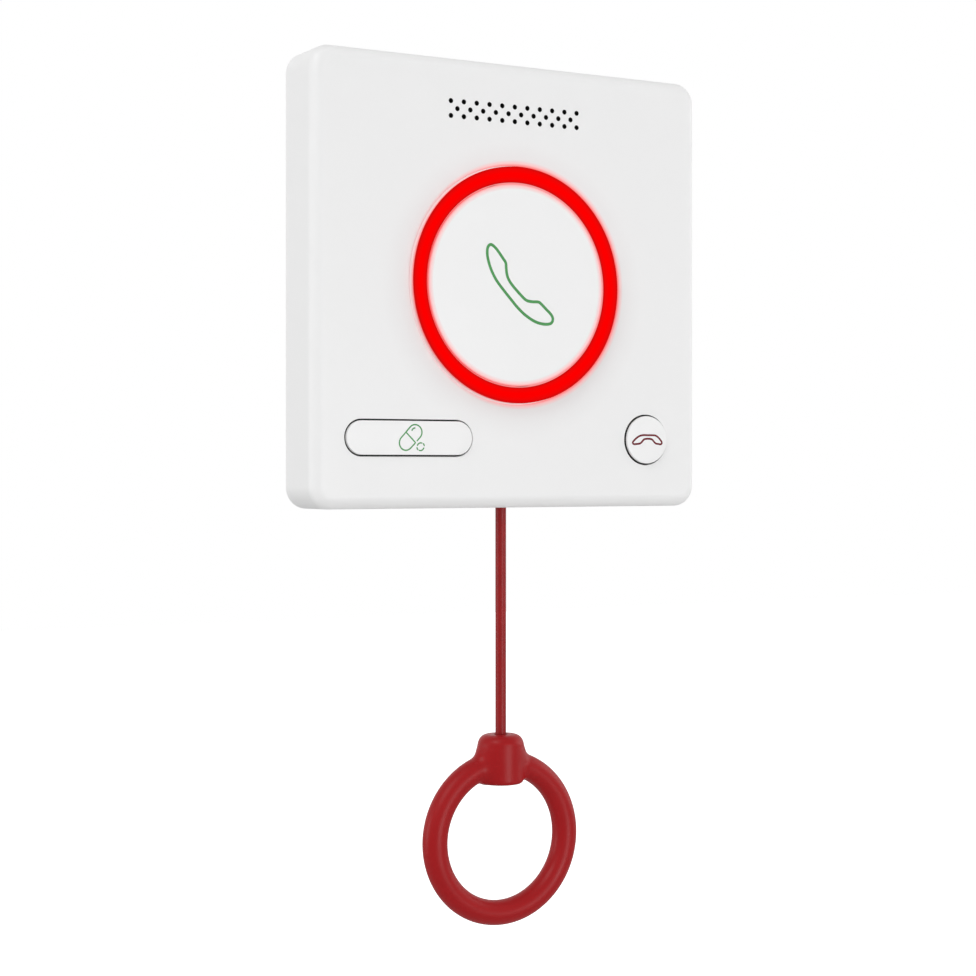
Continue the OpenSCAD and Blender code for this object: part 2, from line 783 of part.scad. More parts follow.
module microphone() color("silver") upright(microphone_x, microphone_level, floor_z + boot_t) {
    pin = 0.5;
    pin_h = board_bottom + 1.2 - floor_z - boot_t;
    cylinder(r = microphone_r, h = microphone_h);
    for (side = [-1, 1]) translate([side * 1.27 - pin / 2, 1, microphone_h / 2]) {
        cube([pin, pin, pin_h - microphone_h / 2]);
        translate([0, 0, pin_h - microphone_h / 2 - pin])
            cube([pin, microphone_level - board_front - 1, pin]);
    }
}

module microphone_boot() color("dimgray") upright(microphone_x, microphone_level, floor_z)
    difference() {
        cylinder(r = boot_r, h = boot_t + microphone_h - 0.4);
        level(boot_t) cylinder(r = boot_r - boot_t, h = microphone_h);
        level(-cut) cylinder(r = sound_hole_r, h = boot_t + 2 * cut);
    }

// Space that the ring's flange and its reflector keep clear of, behind the panel:
// the speaker above them, the pull guide below and the medication button's wall
module ring_neighbours() {
    wide = 2 * flange_r;
    level(-cut) linear_extrude(inner_level + cut) {
        translate([-wide / 2, grille_z - speaker_h / 2 - part_gap]) square(wide);
        translate([-wide / 2, guide_top + part_gap - wide]) square(wide);
        translate([pill_x, button_z]) stadium(
            flange_size(pill_w) + 4 * part_gap + 2 * rib_t,
            flange_size(pill_h) + 4 * part_gap + 2 * rib_t);
    }
}

module light_ring() color("red") facing() difference() {
    inner = light_inner_d / 2;
    outer = light_outer_d / 2;
    top_in = front_level + light_rise_inner;
    top_out = front_level + light_rise_outer;
    rotate_extrude() polygon([
        [inner, light_base], [flange_r, light_base], [flange_r, inner_level],
        [outer, inner_level], [outer, top_out - light_edge], [outer - light_edge, top_out],
        [inner + light_edge, top_in], [inner, top_in - light_edge]
    ]);
    ring_neighbours();
}

// Trough that carries the lamps' light up to the ring, with the button springs' cups inside
module light_reflector() color("white") facing() difference() {
    union() {
        level(board_front) difference() {
            cylinder(r = flange_r, h = light_base - board_front);
            level(reflector_floor) cylinder(r = flange_r - reflector_wall, h = light_base);
            level(-cut) cylinder(r = reflector_inner, h = light_base);
        }
        level(board_front) difference() {
            cylinder(r = reflector_inner + reflector_wall, h = light_base - board_front);
            level(-cut) cylinder(r = reflector_inner, h = light_base);
        }
        at_call_springs() level(board_front) {
            cylinder(r = cup_r, h = cup_h);
            translate([cup_r - cup_wall, -arm_w / 2, 0]) cube([arm_l, arm_w, cup_h / 2]);
        }
    }
    at_call_springs() level(board_front + cup_floor) cylinder(r = cup_r - cup_wall, h = light_base);
    for (i = [0 : lamp_count - 1]) rotate(360 * (i + 0.5) / lamp_count)
        translate([lamp_r, 0, board_front]) linear_extrude(2 * cut, center = true)
            square([lamp_size[0] + 2 * lamp_window, lamp_size[1] + 2 * lamp_window], center = true);
    ring_neighbours();
    for (turn = button_lug_turns) rotate(turn - button_lug_angle / 2 - 1)
        level(button_lug_base - call_travel - part_gap)
            rotate_extrude(angle = button_lug_angle + 2) translate([disc_r, 0])
                square([lug_out - disc_r + part_gap, light_base]);
}

module ring_lamps() color("lightyellow") facing() {
    for (i = [0 : lamp_count - 1]) rotate(360 * (i + 0.5) / lamp_count)
        translate([lamp_r, 0, board_front]) linear_extrude(lamp_size[2])
            square([lamp_size[0], lamp_size[1]], center = true);
}

module call_button_cap() color("white") facing() {
    rotate_extrude() {
        crown_profile(disc_r, disc_under, disc_rim + disc_crown, disc_crown, 16);
        translate([disc_r - disc_skirt_t, button_lug_base])
            square([disc_skirt_t, disc_under - button_lug_base]);
    }
    level(tip_level) cylinder(r = stem_r, h = disc_under - tip_level);
    at_call_springs() level(disc_under - post_l) cylinder(r = post_r, h = post_l);
    for (turn = button_lug_turns) rotate(turn - button_lug_angle / 2)
        rotate_extrude(angle = button_lug_angle)
            translate([disc_r - disc_skirt_t / 2, button_lug_base])
                square([lug_out - disc_r + disc_skirt_t / 2, button_lug_t]);
}

module call_springs() color("silver") facing() at_call_springs()
    button_spring(board_front + cup_floor, disc_under);

module call_switch_body() color("dimgray") facing() switch_body(call_travel);

module call_switch_plunger() color("black") facing() switch_plunger();

module pill_button_cap() color("white") facing() translate([pill_x, button_z, 0]) {
    half = pill_h / 2 - button_gap;
    top = front_level + pill_rise;
    straight = pill_w - pill_h;
    roof_level = top - button_crown - button_roof;
    difference() {
        union() {
            for (side = [-1, 1]) translate([side * straight / 2, 0, 0]) rotate(-90 * side)
                rotate_extrude(angle = 180) crown_profile(half, button_base, top, button_crown, 6);
            rotate([90, 0, 90]) linear_extrude(straight, center = true)
                crown_profile(half, button_base, top, button_crown, 6, both = true);
            level(button_base) linear_extrude(button_flange_t)
                stadium(flange_size(pill_w), flange_size(pill_h));
        }
        level(button_base - cut) linear_extrude(roof_level - button_base + cut)
            stadium(pill_w - 2 * (button_gap + button_shell), pill_h - 2 * (button_gap + button_shell));
    }
    level(tip_level) cylinder(r = stem_r, h = roof_level - tip_level + button_roof / 2);
    for (side = [-1, 1]) translate([side * pill_spring_span / 2, 0, roof_level - post_l])
        cylinder(r = post_r, h = post_l + button_roof / 2);
}

module pill_springs() color("silver") facing() at_pill_springs()
    button_spring(board_front, front_level + pill_rise - button_crown - button_roof);

module pill_switch_body() color("dimgray") facing() translate([pill_x, button_z, 0])
    switch_body(button_travel);

module pill_switch_plunger() color("black") facing() translate([pill_x, button_z, 0])
    switch_plunger();

module hangup_button_cap() color("white") facing() translate([hangup_x, button_z, 0]) {
    half = hangup_d / 2 - button_gap;
    top = front_level + hangup_rise;
    roof_level = top - button_crown - button_roof;
    difference() {
        union() {
            rotate_extrude() crown_profile(half, button_base, top, button_crown, 6);
            level(button_base) cylinder(d = flange_size(hangup_d), h = button_flange_t);
        }
        level(button_base - cut) cylinder(r = half - button_shell, h = roof_level - button_base + cut);
        translate([-key_w / 2, hangup_d / 2, button_base - cut])
            cube([key_w, hangup_d, 2 * cut + button_flange_t]);
    }
    level(tip_level) cylinder(r = stem_r, h = roof_level - tip_level + button_roof / 2);
}

module hangup_switch_body() color("dimgray") facing() translate([hangup_x, button_z, 0])
    switch_body(button_travel);

module hangup_switch_plunger() color("black") facing() translate([hangup_x, button_z, 0])
    switch_plunger();

module main_board() color("green") facing() level(board_back) linear_extrude(board_t) difference() {
    translate([0, (board_top + board_bottom) / 2])
        round_rect(board_w, board_top - board_bottom, board_corner);
    notch_half = guide_half + part_gap / 2 + rib_t + part_gap;
    translate([-notch_half, board_bottom - cut])
        square([2 * notch_half, guide_top + 0.8 - board_bottom + cut]);
    at_board_screws() circle(d = board_screw_d + 0.5);
}

module board_screws() color("silver") facing() at_board_screws() level(board_back) {
    level(-board_head_t) cylinder(r = board_head_r, h = board_head_t);
    cylinder(d = board_screw_d, h = board_t + board_screw_l);
}

// Shielded radio unit in the board's upper left corner, under the screw
module radio_module() color("silver") facing()
    translate([radio_in - board_w / 2, board_screw_top - radio_drop - radio_size[1], board_front]) {
        side = (radio_size[0] - radio_lid[0]) / 2;
        cube(radio_size);
        translate([side, side, radio_size[2] / 2]) cube(radio_lid);
    }

// Places measured from the board's right edge and down from its upper screws
module on_board(place) {
    translate([board_w / 2 - place[0], board_screw_top - place[1], board_front]) children();
}

module processor_chips() color("black") facing() {
    for (chip = chips) on_board(chip) linear_extrude(chip_t) square(chip[2], center = true);
    translate([driver_chip[0], driver_chip[1], board_front]) linear_extrude(chip_t)
        square(driver_chip[2], center = true);
}

module power_parts() color("gray") facing() {
    for (can = cans) on_board(can) cylinder(d = can_d, h = can_l);
    on_board(choke) linear_extrude(choke_t) round_rect(choke_w, choke_w, 1);
}

module terminal_block() color("green") facing() translate([0, terminal_z, wall_gap + 0.2]) difference() {
    translate([-terminal_size[0] / 2, 0, 0]) cube(terminal_size);
    for (i = [0 : terminal_count - 1]) translate([(i - (terminal_count - 1) / 2) * terminal_pitch, 0, 0]) {
        translate([0, -cut, terminal_size[2] - 2.2]) rotate([-90, 0, 0])
            cylinder(r = terminal_hole_r, h = cut + 5);
        translate([0, terminal_size[1] / 2 + 1, -cut])
            cylinder(r = terminal_screw_r + face_gap, h = cut + 2);
    }
}

module terminal_screws() color("silver") facing() translate([0, terminal_z, wall_gap + 0.2]) {
    for (i = [0 : terminal_count - 1])
        translate([(i - (terminal_count - 1) / 2) * terminal_pitch, terminal_size[1] / 2 + 1, 0.6])
            difference() {
                cylinder(r = terminal_screw_r, h = 1.4);
                translate([-terminal_screw_r, -0.25, -cut]) cube([2 * terminal_screw_r, 0.5, cut + 0.5]);
            }
}

// Block that stands on the cover's bottom wall between the base plate and the panel
module pull_guide() color("whitesmoke") difference() {
    translate([-guide_half, -inner_level, floor_z])
        cube([2 * guide_half, inner_level - base_t, guide_top - floor_z]);
    upright(0, cord_level, floor_z - cut)
        cylinder(r = bush_flange_r + seat_gap, h = bush_flange_t + seat_gap + cut);
    upright(0, cord_level, floor_z - cut)
        cylinder(r = guide_r, h = guide_top - guide_roof - floor_z + cut);
    translate([0, -cord_level - rib_w / 2 - part_gap, floor_z - cut])
        cube([guide_half + cut, rib_w + 2 * part_gap,
            switch_z + pull_travel + ramp_over + part_gap - floor_z + cut]);
}

function ramp_x(z) = tip_x + tip_r - (tip_r + seat_gap) / cos(ramp_angle)
    + ramp_ratio * (z - switch_z);

module pull_plunger() color("white") difference() {
    ramp_low = switch_z - ramp_over;
    ramp_high = switch_z + pull_travel + ramp_over;
    union() {
        upright(0, cord_level, nose_z) cylinder(r = nose_r, h = head_z - nose_z + 1);
        upright(0, cord_level, head_z) cylinder(r = head_r, h = head_l);
        translate([0, -cord_level + rib_w / 2, 0]) rotate([90, 0, 0]) linear_extrude(rib_w)
            polygon([
                [head_r / 2, ramp_low], [ramp_x(ramp_low), ramp_low],
                [ramp_x(ramp_high), ramp_high], [head_r / 2, ramp_high]
            ]);
    }
    upright(0, cord_level, pivot_z) {
        level(-1) cylinder(r = knot_bore_r, h = head_z + head_l - pivot_z + 1 + cut);
        sphere(r = knot_bore_r);
        level(-seat_low - 0.5) cylinder(r = seat_r, h = 1);
        level(nose_z - pivot_z - cut)
            cylinder(r1 = mouth_r + 0.3, r2 = seat_r, h = pivot_z - nose_z - seat_low + cut);
    }
}

module pull_spring() color("silver") upright(0, cord_level, floor_z + bush_flange_t + seat_gap)
    coil(pull_coil_r, pull_wire_d, pull_spring_l - 2 * seat_gap, coil_turns);

module pull_switch_body() color("black") difference() {
    translate([tip_x + pull_button_out, -board_front - pull_body[1], switch_z - pull_body[2] / 2])
        cube(pull_body);
    translate([tip_x, -cord_level - pull_button_w / 2 - face_gap, switch_z - tip_r - face_gap])
        cube([pull_button_l + button_press + part_gap,
            pull_button_w + 2 * face_gap, 2 * (tip_r + face_gap)]);
}

module pull_switch_button() color("red")
    translate([tip_x + tip_r, -cord_level + pull_button_w / 2, switch_z]) rotate([90, 0, 0]) {
        cylinder(r = tip_r, h = pull_button_w);
        translate([0, -tip_r, 0]) cube([pull_button_l - tip_r, 2 * tip_r, pull_button_w]);
    }

module cord_bush() color("white") upright(0, cord_level, bottom_z) difference() {
    union() {
        cylinder(r = bush_r, h = wall_t + bush_flange_t);
        level(wall_t) cylinder(r = bush_flange_r, h = bush_flange_t);
    }
    level(-cut) cylinder(r = nose_r + slide_gap, h = wall_t + bush_flange_t + 2 * cut);
    translate([-bush_flange_r, -bush_flat - cut, wall_t / 2])
        cube([2 * bush_flange_r, cut, bush_flange_t + wall_t]);
}

// The upper knot is a ball on the seat in the nose. The cord's end turns in its socket.
module cord_knot() color("firebrick") upright(0, cord_level, pivot_z) difference() {
    sphere(r = knot_r);
    level(-knot_cut - knot_r) cylinder(r = knot_r, h = knot_r);
    sphere(r = socket_r);
    level(-knot_cut - cut)
        cylinder(r1 = socket_r + 0.1 + (knot_cut + cut) * tan(cord_tilt), r2 = socket_r,
            h = knot_cut + cut);
}

module pull_cord() color("firebrick") tube(cord_route, cord_r, 8, [0, 1, 0]);

module ring_knot() color("firebrick") upright(0, cord_level, cord_end_z - ring_knot_flat) difference() {
    sphere(r = ring_knot_r);
    level(ring_knot_flat) cylinder(r = ring_knot_r, h = ring_knot_r);
}

module pull_ring() color("firebrick") difference() {
    union() {
        translate([0, -cord_level, ring_z]) rotate([90, 0, 0]) rotate_extrude()
            translate([ring_middle_r, 0]) circle(tube_r);
        upright(0, cord_level, hub_bottom) rotate_extrude() {
            square([hub_r, hub_h - hub_round]);
            square([hub_r - hub_round, hub_h]);
            translate([hub_r - hub_round, hub_h - hub_round]) intersection() {
                circle(hub_round);
                square(hub_round);
            }
        }
        pull_ring_webs();
    }
    upright(0, cord_level, hub_bottom - cut) cylinder(r = hub_hole_r, h = hub_h + 2 * cut);
    upright(0, cord_level, hub_bottom - cut)
        cylinder(r = hub_pocket_r, h = cord_end_z + face_gap - hub_bottom + cut);
}

// Smooth webs between the hub's sides and the ring's tube
module pull_ring_webs() {
    across = hub_r + web_round - web_sink;
    reach = pull_ring_d / 2 + web_round - web_sink;
    rise = sqrt(reach * reach - across * across);
    for (side = [0, 1]) mirror([side, 0, 0])
        translate([across, -cord_level, ring_z + rise]) rotate([90, 0, 0]) rotate(180)
            rotate_extrude(angle = atan2(rise, across)) translate([web_round + web_tube, 0])
                circle(web_tube);
}

front_cover();
base_plate();
lock_screws();
speaker_mesh();
speaker_gasket();
speaker_frame();
speaker_cone();
speaker_magnet();
speaker_screws();
speaker_socket();
speaker_wires();
microphone();
microphone_boot();
light_ring();
light_reflector();
ring_lamps();
call_button_cap();
call_springs();
call_switch_body();
call_switch_plunger();
pill_button_cap();
pill_springs();
pill_switch_body();
pill_switch_plunger();
hangup_button_cap();
hangup_switch_body();
hangup_switch_plunger();
main_board();
board_screws();
radio_module();
processor_chips();
power_parts();
terminal_block();
terminal_screws();
pull_guide();
pull_plunger();
pull_spring();
pull_switch_body();
pull_switch_button();
cord_bush();
cord_knot();
pull_cord();
ring_knot();
pull_ring();
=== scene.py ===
import json
import math

import bpy
import numpy as np
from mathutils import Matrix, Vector
from mathutils.geometry import tessellate_polygon


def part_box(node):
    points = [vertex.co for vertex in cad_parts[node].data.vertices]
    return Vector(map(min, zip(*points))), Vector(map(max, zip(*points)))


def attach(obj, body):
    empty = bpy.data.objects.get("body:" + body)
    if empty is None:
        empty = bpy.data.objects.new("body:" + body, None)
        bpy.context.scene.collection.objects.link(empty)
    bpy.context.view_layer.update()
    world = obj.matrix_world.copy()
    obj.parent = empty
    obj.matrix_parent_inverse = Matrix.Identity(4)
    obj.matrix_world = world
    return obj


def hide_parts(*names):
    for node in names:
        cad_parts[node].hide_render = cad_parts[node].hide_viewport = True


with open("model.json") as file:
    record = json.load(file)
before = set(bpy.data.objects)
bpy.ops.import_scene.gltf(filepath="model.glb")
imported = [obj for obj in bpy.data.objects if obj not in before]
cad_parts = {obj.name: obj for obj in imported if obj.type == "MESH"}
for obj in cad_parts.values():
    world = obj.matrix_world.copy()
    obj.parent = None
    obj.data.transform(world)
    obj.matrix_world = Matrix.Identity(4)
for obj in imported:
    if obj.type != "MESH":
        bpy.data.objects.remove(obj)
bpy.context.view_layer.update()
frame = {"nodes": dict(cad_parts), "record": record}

# Sizes below are in millimetres. X runs to the right and Z up, seen from the front,
# and a level is a distance from the wall towards the front.
MM = 0.001


def box_mm(node):
    low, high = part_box(node)
    return low / MM, high / MM


cover_low, cover_high = box_mm("front_cover")
ring_high = box_mm("light_ring")[1]
call_low, call_high = box_mm("call_button_cap")
pill_low, pill_high = box_mm("pill_button_cap")
hangup_low, hangup_high = box_mm("hangup_button_cap")
finger_low, finger_high = box_mm("pull_ring")

# Front cover
FRONT = -cover_low.y
REAR = -cover_high.y
WALL = 2.0
INNER = FRONT - WALL
CORNER_R = 6.0
EDGE_R = 3.5
REAR_ROUND = 0.3
LIP_R = 0.15
HOLE_D = 1.4
HOLE_LIP = 0.12
HOLE_PITCH = 4.1
ROW_PITCH = 2.05
ROW_HOLES = 11
GRILLE_DROP = 14.35
GRILLE_T = 0.8
GRILLE_Z = cover_high.z - GRILLE_DROP
GRILLE_BACK = FRONT - GRILLE_T
GRILLE_ROOM = 0.8
# Dark lining of the grille holes, painted shade: its thickness, its drop below the face, its slope and its
# tuck
SHADE_LINING_T = 0.03
SHADE_LINING_DROP = 0.08
SHADE_LINING_SLOPE = 0.06
SHADE_LINING_TUCK = 0.01
GRILLE_SPINE = ((ROW_HOLES - 1) * HOLE_PITCH / 2 + HOLE_D / 2, ROW_PITCH + HOLE_D / 2)

# Openings in the cover's bottom wall, the sound hole with its X, level and radius
BUSH_HOLE_R = 5.03
BUSH_LEVEL = 10.0
SOUND_HOLE = (23.0, 10.35, 0.7)
LOCK_X = 40.0
LOCK_LEVEL = 4.0
LOCK_HOLE_R = 1.5
LOCK_HEAD_R = 2.45
LOCK_HEAD_DEPTH = 1.3
EDGE_MARGIN = 0.02

# Light ring and call button
RING_OUTER_R = 33.2
RING_INNER_R = 28.7
RING_TOP_OUTER = FRONT + 1.9
RING_TOP_INNER = FRONT + 1.4
RING_ROUND = 0.3
RING_EDGE = 0.1
RING_LEDGE = 0.2
RING_LEDGE_DEPTH = 0.6
RING_FOOT = 0.3
RING_FOOT_T = 0.02
FACE_GAP = 0.1
CALL_R = 28.4
CALL_TOP = -call_low.y
CALL_CROWN = 0.5
CALL_EDGE = 0.3
CALL_BASE = -call_high.y
CALL_WALL = 1.4
CALL_ROOF = 2.3
CALL_SPRING_FAR = 18

# Posts inside the caps: radius, lower end and upper end
CALL_SPRING_POST = (1.6, 13.5, 17.5)
CALL_SWITCH_POST = (2.2, 13.0, 17.5)
PILL_SPRING_POST = (1.6, 13.1, 16.8)
PILL_SWITCH_POST = (2.2, 13.0, 16.8)
HANGUP_SWITCH_POST = (2.2, 13.0, 17.0)

# Small buttons
BUTTON_GAP = 0.6
BUTTON_WALL = 1.3
BUTTON_ROOF = 2.0
PILL_SPRING_FAR = 13
PILL_SIZE = (39.8, 10.5)
PILL_CENTRE = ((pill_low.x + pill_high.x) / 2, (pill_low.z + pill_high.z) / 2)
PILL_TOP = -pill_low.y
HANGUP_D = 15.0
HANGUP_CENTRE = ((hangup_low.x + hangup_high.x) / 2, (hangup_low.z + hangup_high.z) / 2)
HANGUP_TOP = -hangup_low.y
BUTTON_CROWN = 0.3
FLANGE_W = 1.2
FLANGE_T = 1.5
BUTTON_BASE = 14.4
BUTTON_EDGE = 0.25
# Thin dark sleeves in the gaps round the small caps are painted shade: their wall and foot thickness, and the
# levels of their top edges
SHADE_SLEEVE_T = 0.12
SHADE_SLEEVE_FOOT_T = 0.05
PILL_SHADE_SLEEVE_TOP = FRONT - 0.4
HANGUP_SHADE_SLEEVE_TOP = FRONT + 0.15
OPENING_DRAFT = 0.15

# Cord and pull ring
CORD_D = 3.1
CORD_LEVEL = 10
CORD_ROUTE = [
    (0, -10, -58.5), (0, -10, -63), (0, -10, -68), (0, -10, -73),
    (0, -10, -78), (0, -10, -83), (0, -10, -88), (0, -10, -93),
    (0, -10, -98), (0, -10, -103), (0, -10, -108), (0, -10, -113),
    (0, -10, -118), (0, -10, -123), (0, -10, -128), (0, -10, -133),
]
HUB_R = 6.5
HUB_TOP = finger_high.z
HUB_BOTTOM = HUB_TOP - 14.0
HUB_ROUND = 2.8
HUB_LOW_ROUND = 1.2
TUBE_R = 3.55
FINGER_R = finger_high.x - TUBE_R
FINGER_Z = finger_low.z + TUBE_R + FINGER_R
CORD_HOLE_R = 1.75
POCKET_R = 3.8
POCKET_TOP = -132.9
MOUTH_ROUND = 0.5
# Blend of hub and tube at the middle of the tube's top, and at a height above it
SHOULDER_BLEND = (2.2, 4.6)
SHOULDER_H = 4
# Size of the ring's mesh, and how often and how far its points are drawn to the surface
FINGER_MESH = 0.4
FINGER_PASSES = 8
FINGER_REACH = 0.5


# Camera of the photograph: its place in metres, its turn in degrees and its lens
CAMERA_PLACE = (-0.29184, -0.51323, -0.0512)
CAMERA_TURN = -29.754
CAMERA_LENS = 75.37
CAMERA_SHIFT = -0.02096


def make_camera():
    data = bpy.data.cameras.new("camera")
    data.lens = CAMERA_LENS
    data.sensor_width = 36
    data.shift_y = CAMERA_SHIFT
    camera = bpy.data.objects.new("camera", data)
    camera.location = CAMERA_PLACE
    camera.rotation_euler = (math.radians(90), 0, math.radians(CAMERA_TURN))
    bpy.context.scene.collection.objects.link(camera)
    bpy.context.scene.camera = camera


# Materials
def new_material(name, color, roughness, metallic=0.0, specular=0.5):
    material = bpy.data.materials.new(name)
    material.use_nodes = True
    shader = material.node_tree.nodes["Principled BSDF"]
    shader.inputs["Base Color"].default_value = (*color, 1)
    shader.inputs["Roughness"].default_value = roughness
    shader.inputs["Metallic"].default_value = metallic
    shader.inputs["Specular IOR Level"].default_value = specular
    return material, material.node_tree, shader


def add(tree, kind, **settings):
    node = tree.nodes.new(kind)
    for key, value in settings.items():
        setattr(node, key, value)
    return node


def object_place(tree):
    return add(tree, "ShaderNodeTexCoord").outputs["Object"]


def noise(tree, size, detail=3.0, stretch=(1, 1, 1)):
    """Noise whose grains are size millimetres wide, longer along an axis with a stretch."""
    mapping = add(tree, "ShaderNodeMapping")
    mapping.inputs["Scale"].default_value = [1 / s for s in stretch]
    tree.links.new(object_place(tree), mapping.inputs["Vector"])
    texture = add(tree, "ShaderNodeTexNoise")
    texture.inputs["Scale"].default_value = 1 / (size * MM)
    texture.inputs["Detail"].default_value = detail
    tree.links.new(mapping.outputs["Vector"], texture.inputs["Vector"])
    return texture.outputs["Fac"]


def spread(tree, value, low, high, start=0.3, end=0.7):
    """Maps a value from start to end onto low to high."""
    node = add(tree, "ShaderNodeMapRange")
    for name, number in (("From Min", start), ("From Max", end), ("To Min", low), ("To Max", high)):
        node.inputs[name].default_value = number
    tree.links.new(value, node.inputs["Value"])
    return node.outputs["Result"]


def mix_color(tree, factor, first, second, blend="MIX"):
    """Mix of two colours or colour outputs, in full without a factor."""
    node = add(tree, "ShaderNodeMix", data_type="RGBA", blend_type=blend)
    if factor is None:
        node.inputs["Factor"].default_value = 1.0
    else:
        tree.links.new(factor, node.inputs["Factor"])
    for socket, value in ((node.inputs[6], first), (node.inputs[7], second)):
        if isinstance(value, tuple):
            socket.default_value = (*value, 1)
        else:
            tree.links.new(value, socket)
    return node.outputs[2]


def add_bump(tree, shader, height, depth):
    """Bump whose full height is depth millimetres."""
    node = add(tree, "ShaderNodeBump")
    node.inputs["Distance"].default_value = depth * MM
    node.inputs["Strength"].default_value = 1.0
    tree.links.new(height, node.inputs["Height"])
    tree.links.new(node.outputs["Normal"], shader.inputs["Normal"])


def shade(color, factor):
    return tuple(c * factor for c in color)


def grey(value):
    return (value, value, value)


def finish_surface(tree, shader, color, roughness, grain, depth, patches=12.0, vary=0.02, stretch=(1, 1, 1)):
    """Grain bump, patchy roughness and a faint change of colour, over a colour or its output."""
    grains = noise(tree, grain, stretch=stretch)
    add_bump(tree, shader, grains, depth)
    rough = spread(tree, noise(tree, patches, detail=2.0), roughness - 0.04, roughness + 0.05)
    tree.links.new(rough, shader.inputs["Roughness"])
    if isinstance(color, tuple):
        cloud = spread(tree, noise(tree, patches * 2, detail=2.0), 0.0, 1.0)
        color = mix_color(tree, cloud, shade(color, 1 - vary), shade(color, 1 + vary / 2))
    tree.links.new(color, shader.inputs["Base Color"])


def moulded(name, color, roughness=0.45, grain=0.2, depth=0.004, specular=0.5):
    material, tree, shader = new_material(name, color, roughness, specular=specular)
    finish_surface(tree, shader, color, roughness, grain, depth)
    return material


def metal(name, color, roughness=0.3, stretch=(1, 1, 8)):
    material, tree, shader = new_material(name, color, roughness, metallic=1.0)
    finish_surface(tree, shader, color, roughness, 0.08, 0.003, patches=2.0, vary=0.06, stretch=stretch)
    return material


# Half waves that a wave texture draws over one unit at scale 1, nearly
HALF_WAVES = 6.3


def cloth(name, color):
    """Fine woven cloth: two sets of threads that cross."""
    thread = 0.12
    material, tree, shader = new_material(name, color, 0.85)
    waves = []
    for direction in ("X", "Z"):
        wave = add(tree, "ShaderNodeTexWave", bands_direction=direction)
        wave.inputs["Scale"].default_value = 1 / (thread * MM) / HALF_WAVES
        tree.links.new(object_place(tree), wave.inputs["Vector"])
        waves.append(wave.outputs["Fac"])
    top = add(tree, "ShaderNodeMath", operation="MAXIMUM")
    tree.links.new(waves[0], top.inputs[0])
    tree.links.new(waves[1], top.inputs[1])
    add_bump(tree, shader, top.outputs[0], thread / 3)
    tree.links.new(mix_color(tree, top.outputs[0], shade(color, 0.4), color), shader.inputs["Base Color"])
    return material


def foam(name, color):
    cell = 0.3
    material, tree, shader = new_material(name, color, 0.9)
    cells = add(tree, "ShaderNodeTexVoronoi")
    cells.inputs["Scale"].default_value = 1 / (cell * MM)
    tree.links.new(object_place(tree), cells.inputs["Vector"])
    add_bump(tree, shader, cells.outputs["Distance"], cell / 2)
    tree.links.new(
        mix_color(tree, cells.outputs["Distance"], shade(color, 0.5), shade(color, 1.4)),
        shader.inputs["Base Color"])
    return material


TRACK_GREEN = (0.05, 0.3, 0.12)
TRACK_LENGTH = 9
TRACK_PITCH = 1.6
TRACK_W = 0.22
TRACK_PATCH = 9.0


def board_lacquer(name, color):
    """Green lacquer over copper tracks, which show in patches as paler, slightly raised lanes."""
    material, tree, shader = new_material(name, color, 0.35)
    bricks = add(tree, "ShaderNodeTexBrick", offset=0.35, offset_frequency=3, squash=1.7, squash_frequency=4)
    bricks.inputs["Scale"].default_value = 1.0
    bricks.inputs["Brick Width"].default_value = TRACK_LENGTH * MM
    bricks.inputs["Row Height"].default_value = TRACK_PITCH * MM
    bricks.inputs["Mortar Size"].default_value = TRACK_W * MM
    turned = add(tree, "ShaderNodeMapping")
    turned.inputs["Rotation"].default_value = (math.radians(90), 0, 0)
    tree.links.new(object_place(tree), turned.inputs["Vector"])
    tree.links.new(turned.outputs["Vector"], bricks.inputs["Vector"])
    patchy = add(tree, "ShaderNodeMath", operation="MULTIPLY")
    tree.links.new(bricks.outputs["Fac"], patchy.inputs[0])
    tree.links.new(spread(tree, noise(tree, TRACK_PATCH, detail=1.0), 0.0, 1.0, 0.46, 0.5), patchy.inputs[1])
    lanes = patchy.outputs[0]
    tree.links.new(mix_color(tree, lanes, color, TRACK_GREEN), shader.inputs["Base Color"])
    tree.links.new(spread(tree, noise(tree, 6.0), 0.28, 0.42), shader.inputs["Roughness"])
    add_bump(tree, shader, lanes, 0.03)
    return material


def from_axis(tree, centre=(0, 0), across="XZ"):
    """Distance in millimetres across two axes from a centre."""
    parts = add(tree, "ShaderNodeSeparateXYZ")
    tree.links.new(object_place(tree), parts.inputs["Vector"])
    flat = add(tree, "ShaderNodeCombineXYZ")
    for socket, axis in zip("XY", across):
        tree.links.new(parts.outputs[axis], flat.inputs[socket])
    far = add(tree, "ShaderNodeVectorMath", operation="DISTANCE")
    far.inputs[1].default_value = (centre[0] * MM, centre[1] * MM, 0)
    tree.links.new(flat.outputs["Vector"], far.inputs[0])
    scaled = add(tree, "ShaderNodeMath", operation="DIVIDE")
    scaled.inputs[1].default_value = MM
    tree.links.new(far.outputs["Value"], scaled.inputs[0])
    return scaled.outputs[0]


def ramp(tree, value, start, end, stops):
    """Colours along a value that runs from start to end."""
    node = add(tree, "ShaderNodeValToRGB")
    while len(node.color_ramp.elements) < len(stops):
        node.color_ramp.elements.new(1)
    for element, (place, color) in zip(node.color_ramp.elements, stops):
        element.position = (place - start) / (end - start)
        element.color = (*color, 1)
    tree.links.new(spread(tree, value, 0.0, 1.0, start, end), node.inputs["Fac"])
    return node.outputs["Color"]


PANEL_WHITE = grey(0.84)
CAP_WHITE = grey(0.865)
# Painted red glow beside the ring, on the panel and the call button's rim: its width, and its shift on the
# panel
HALO_W = 1.9
HALO_SHIFT = (1.15, 0.2)
# Painted soft shade round the ring: its width, its shift and its share of the panel's colour
SHADE_W = 9.0
SHADE_SHIFT = (0.5, -2.0)
SHADE_DEPTH = 0.06


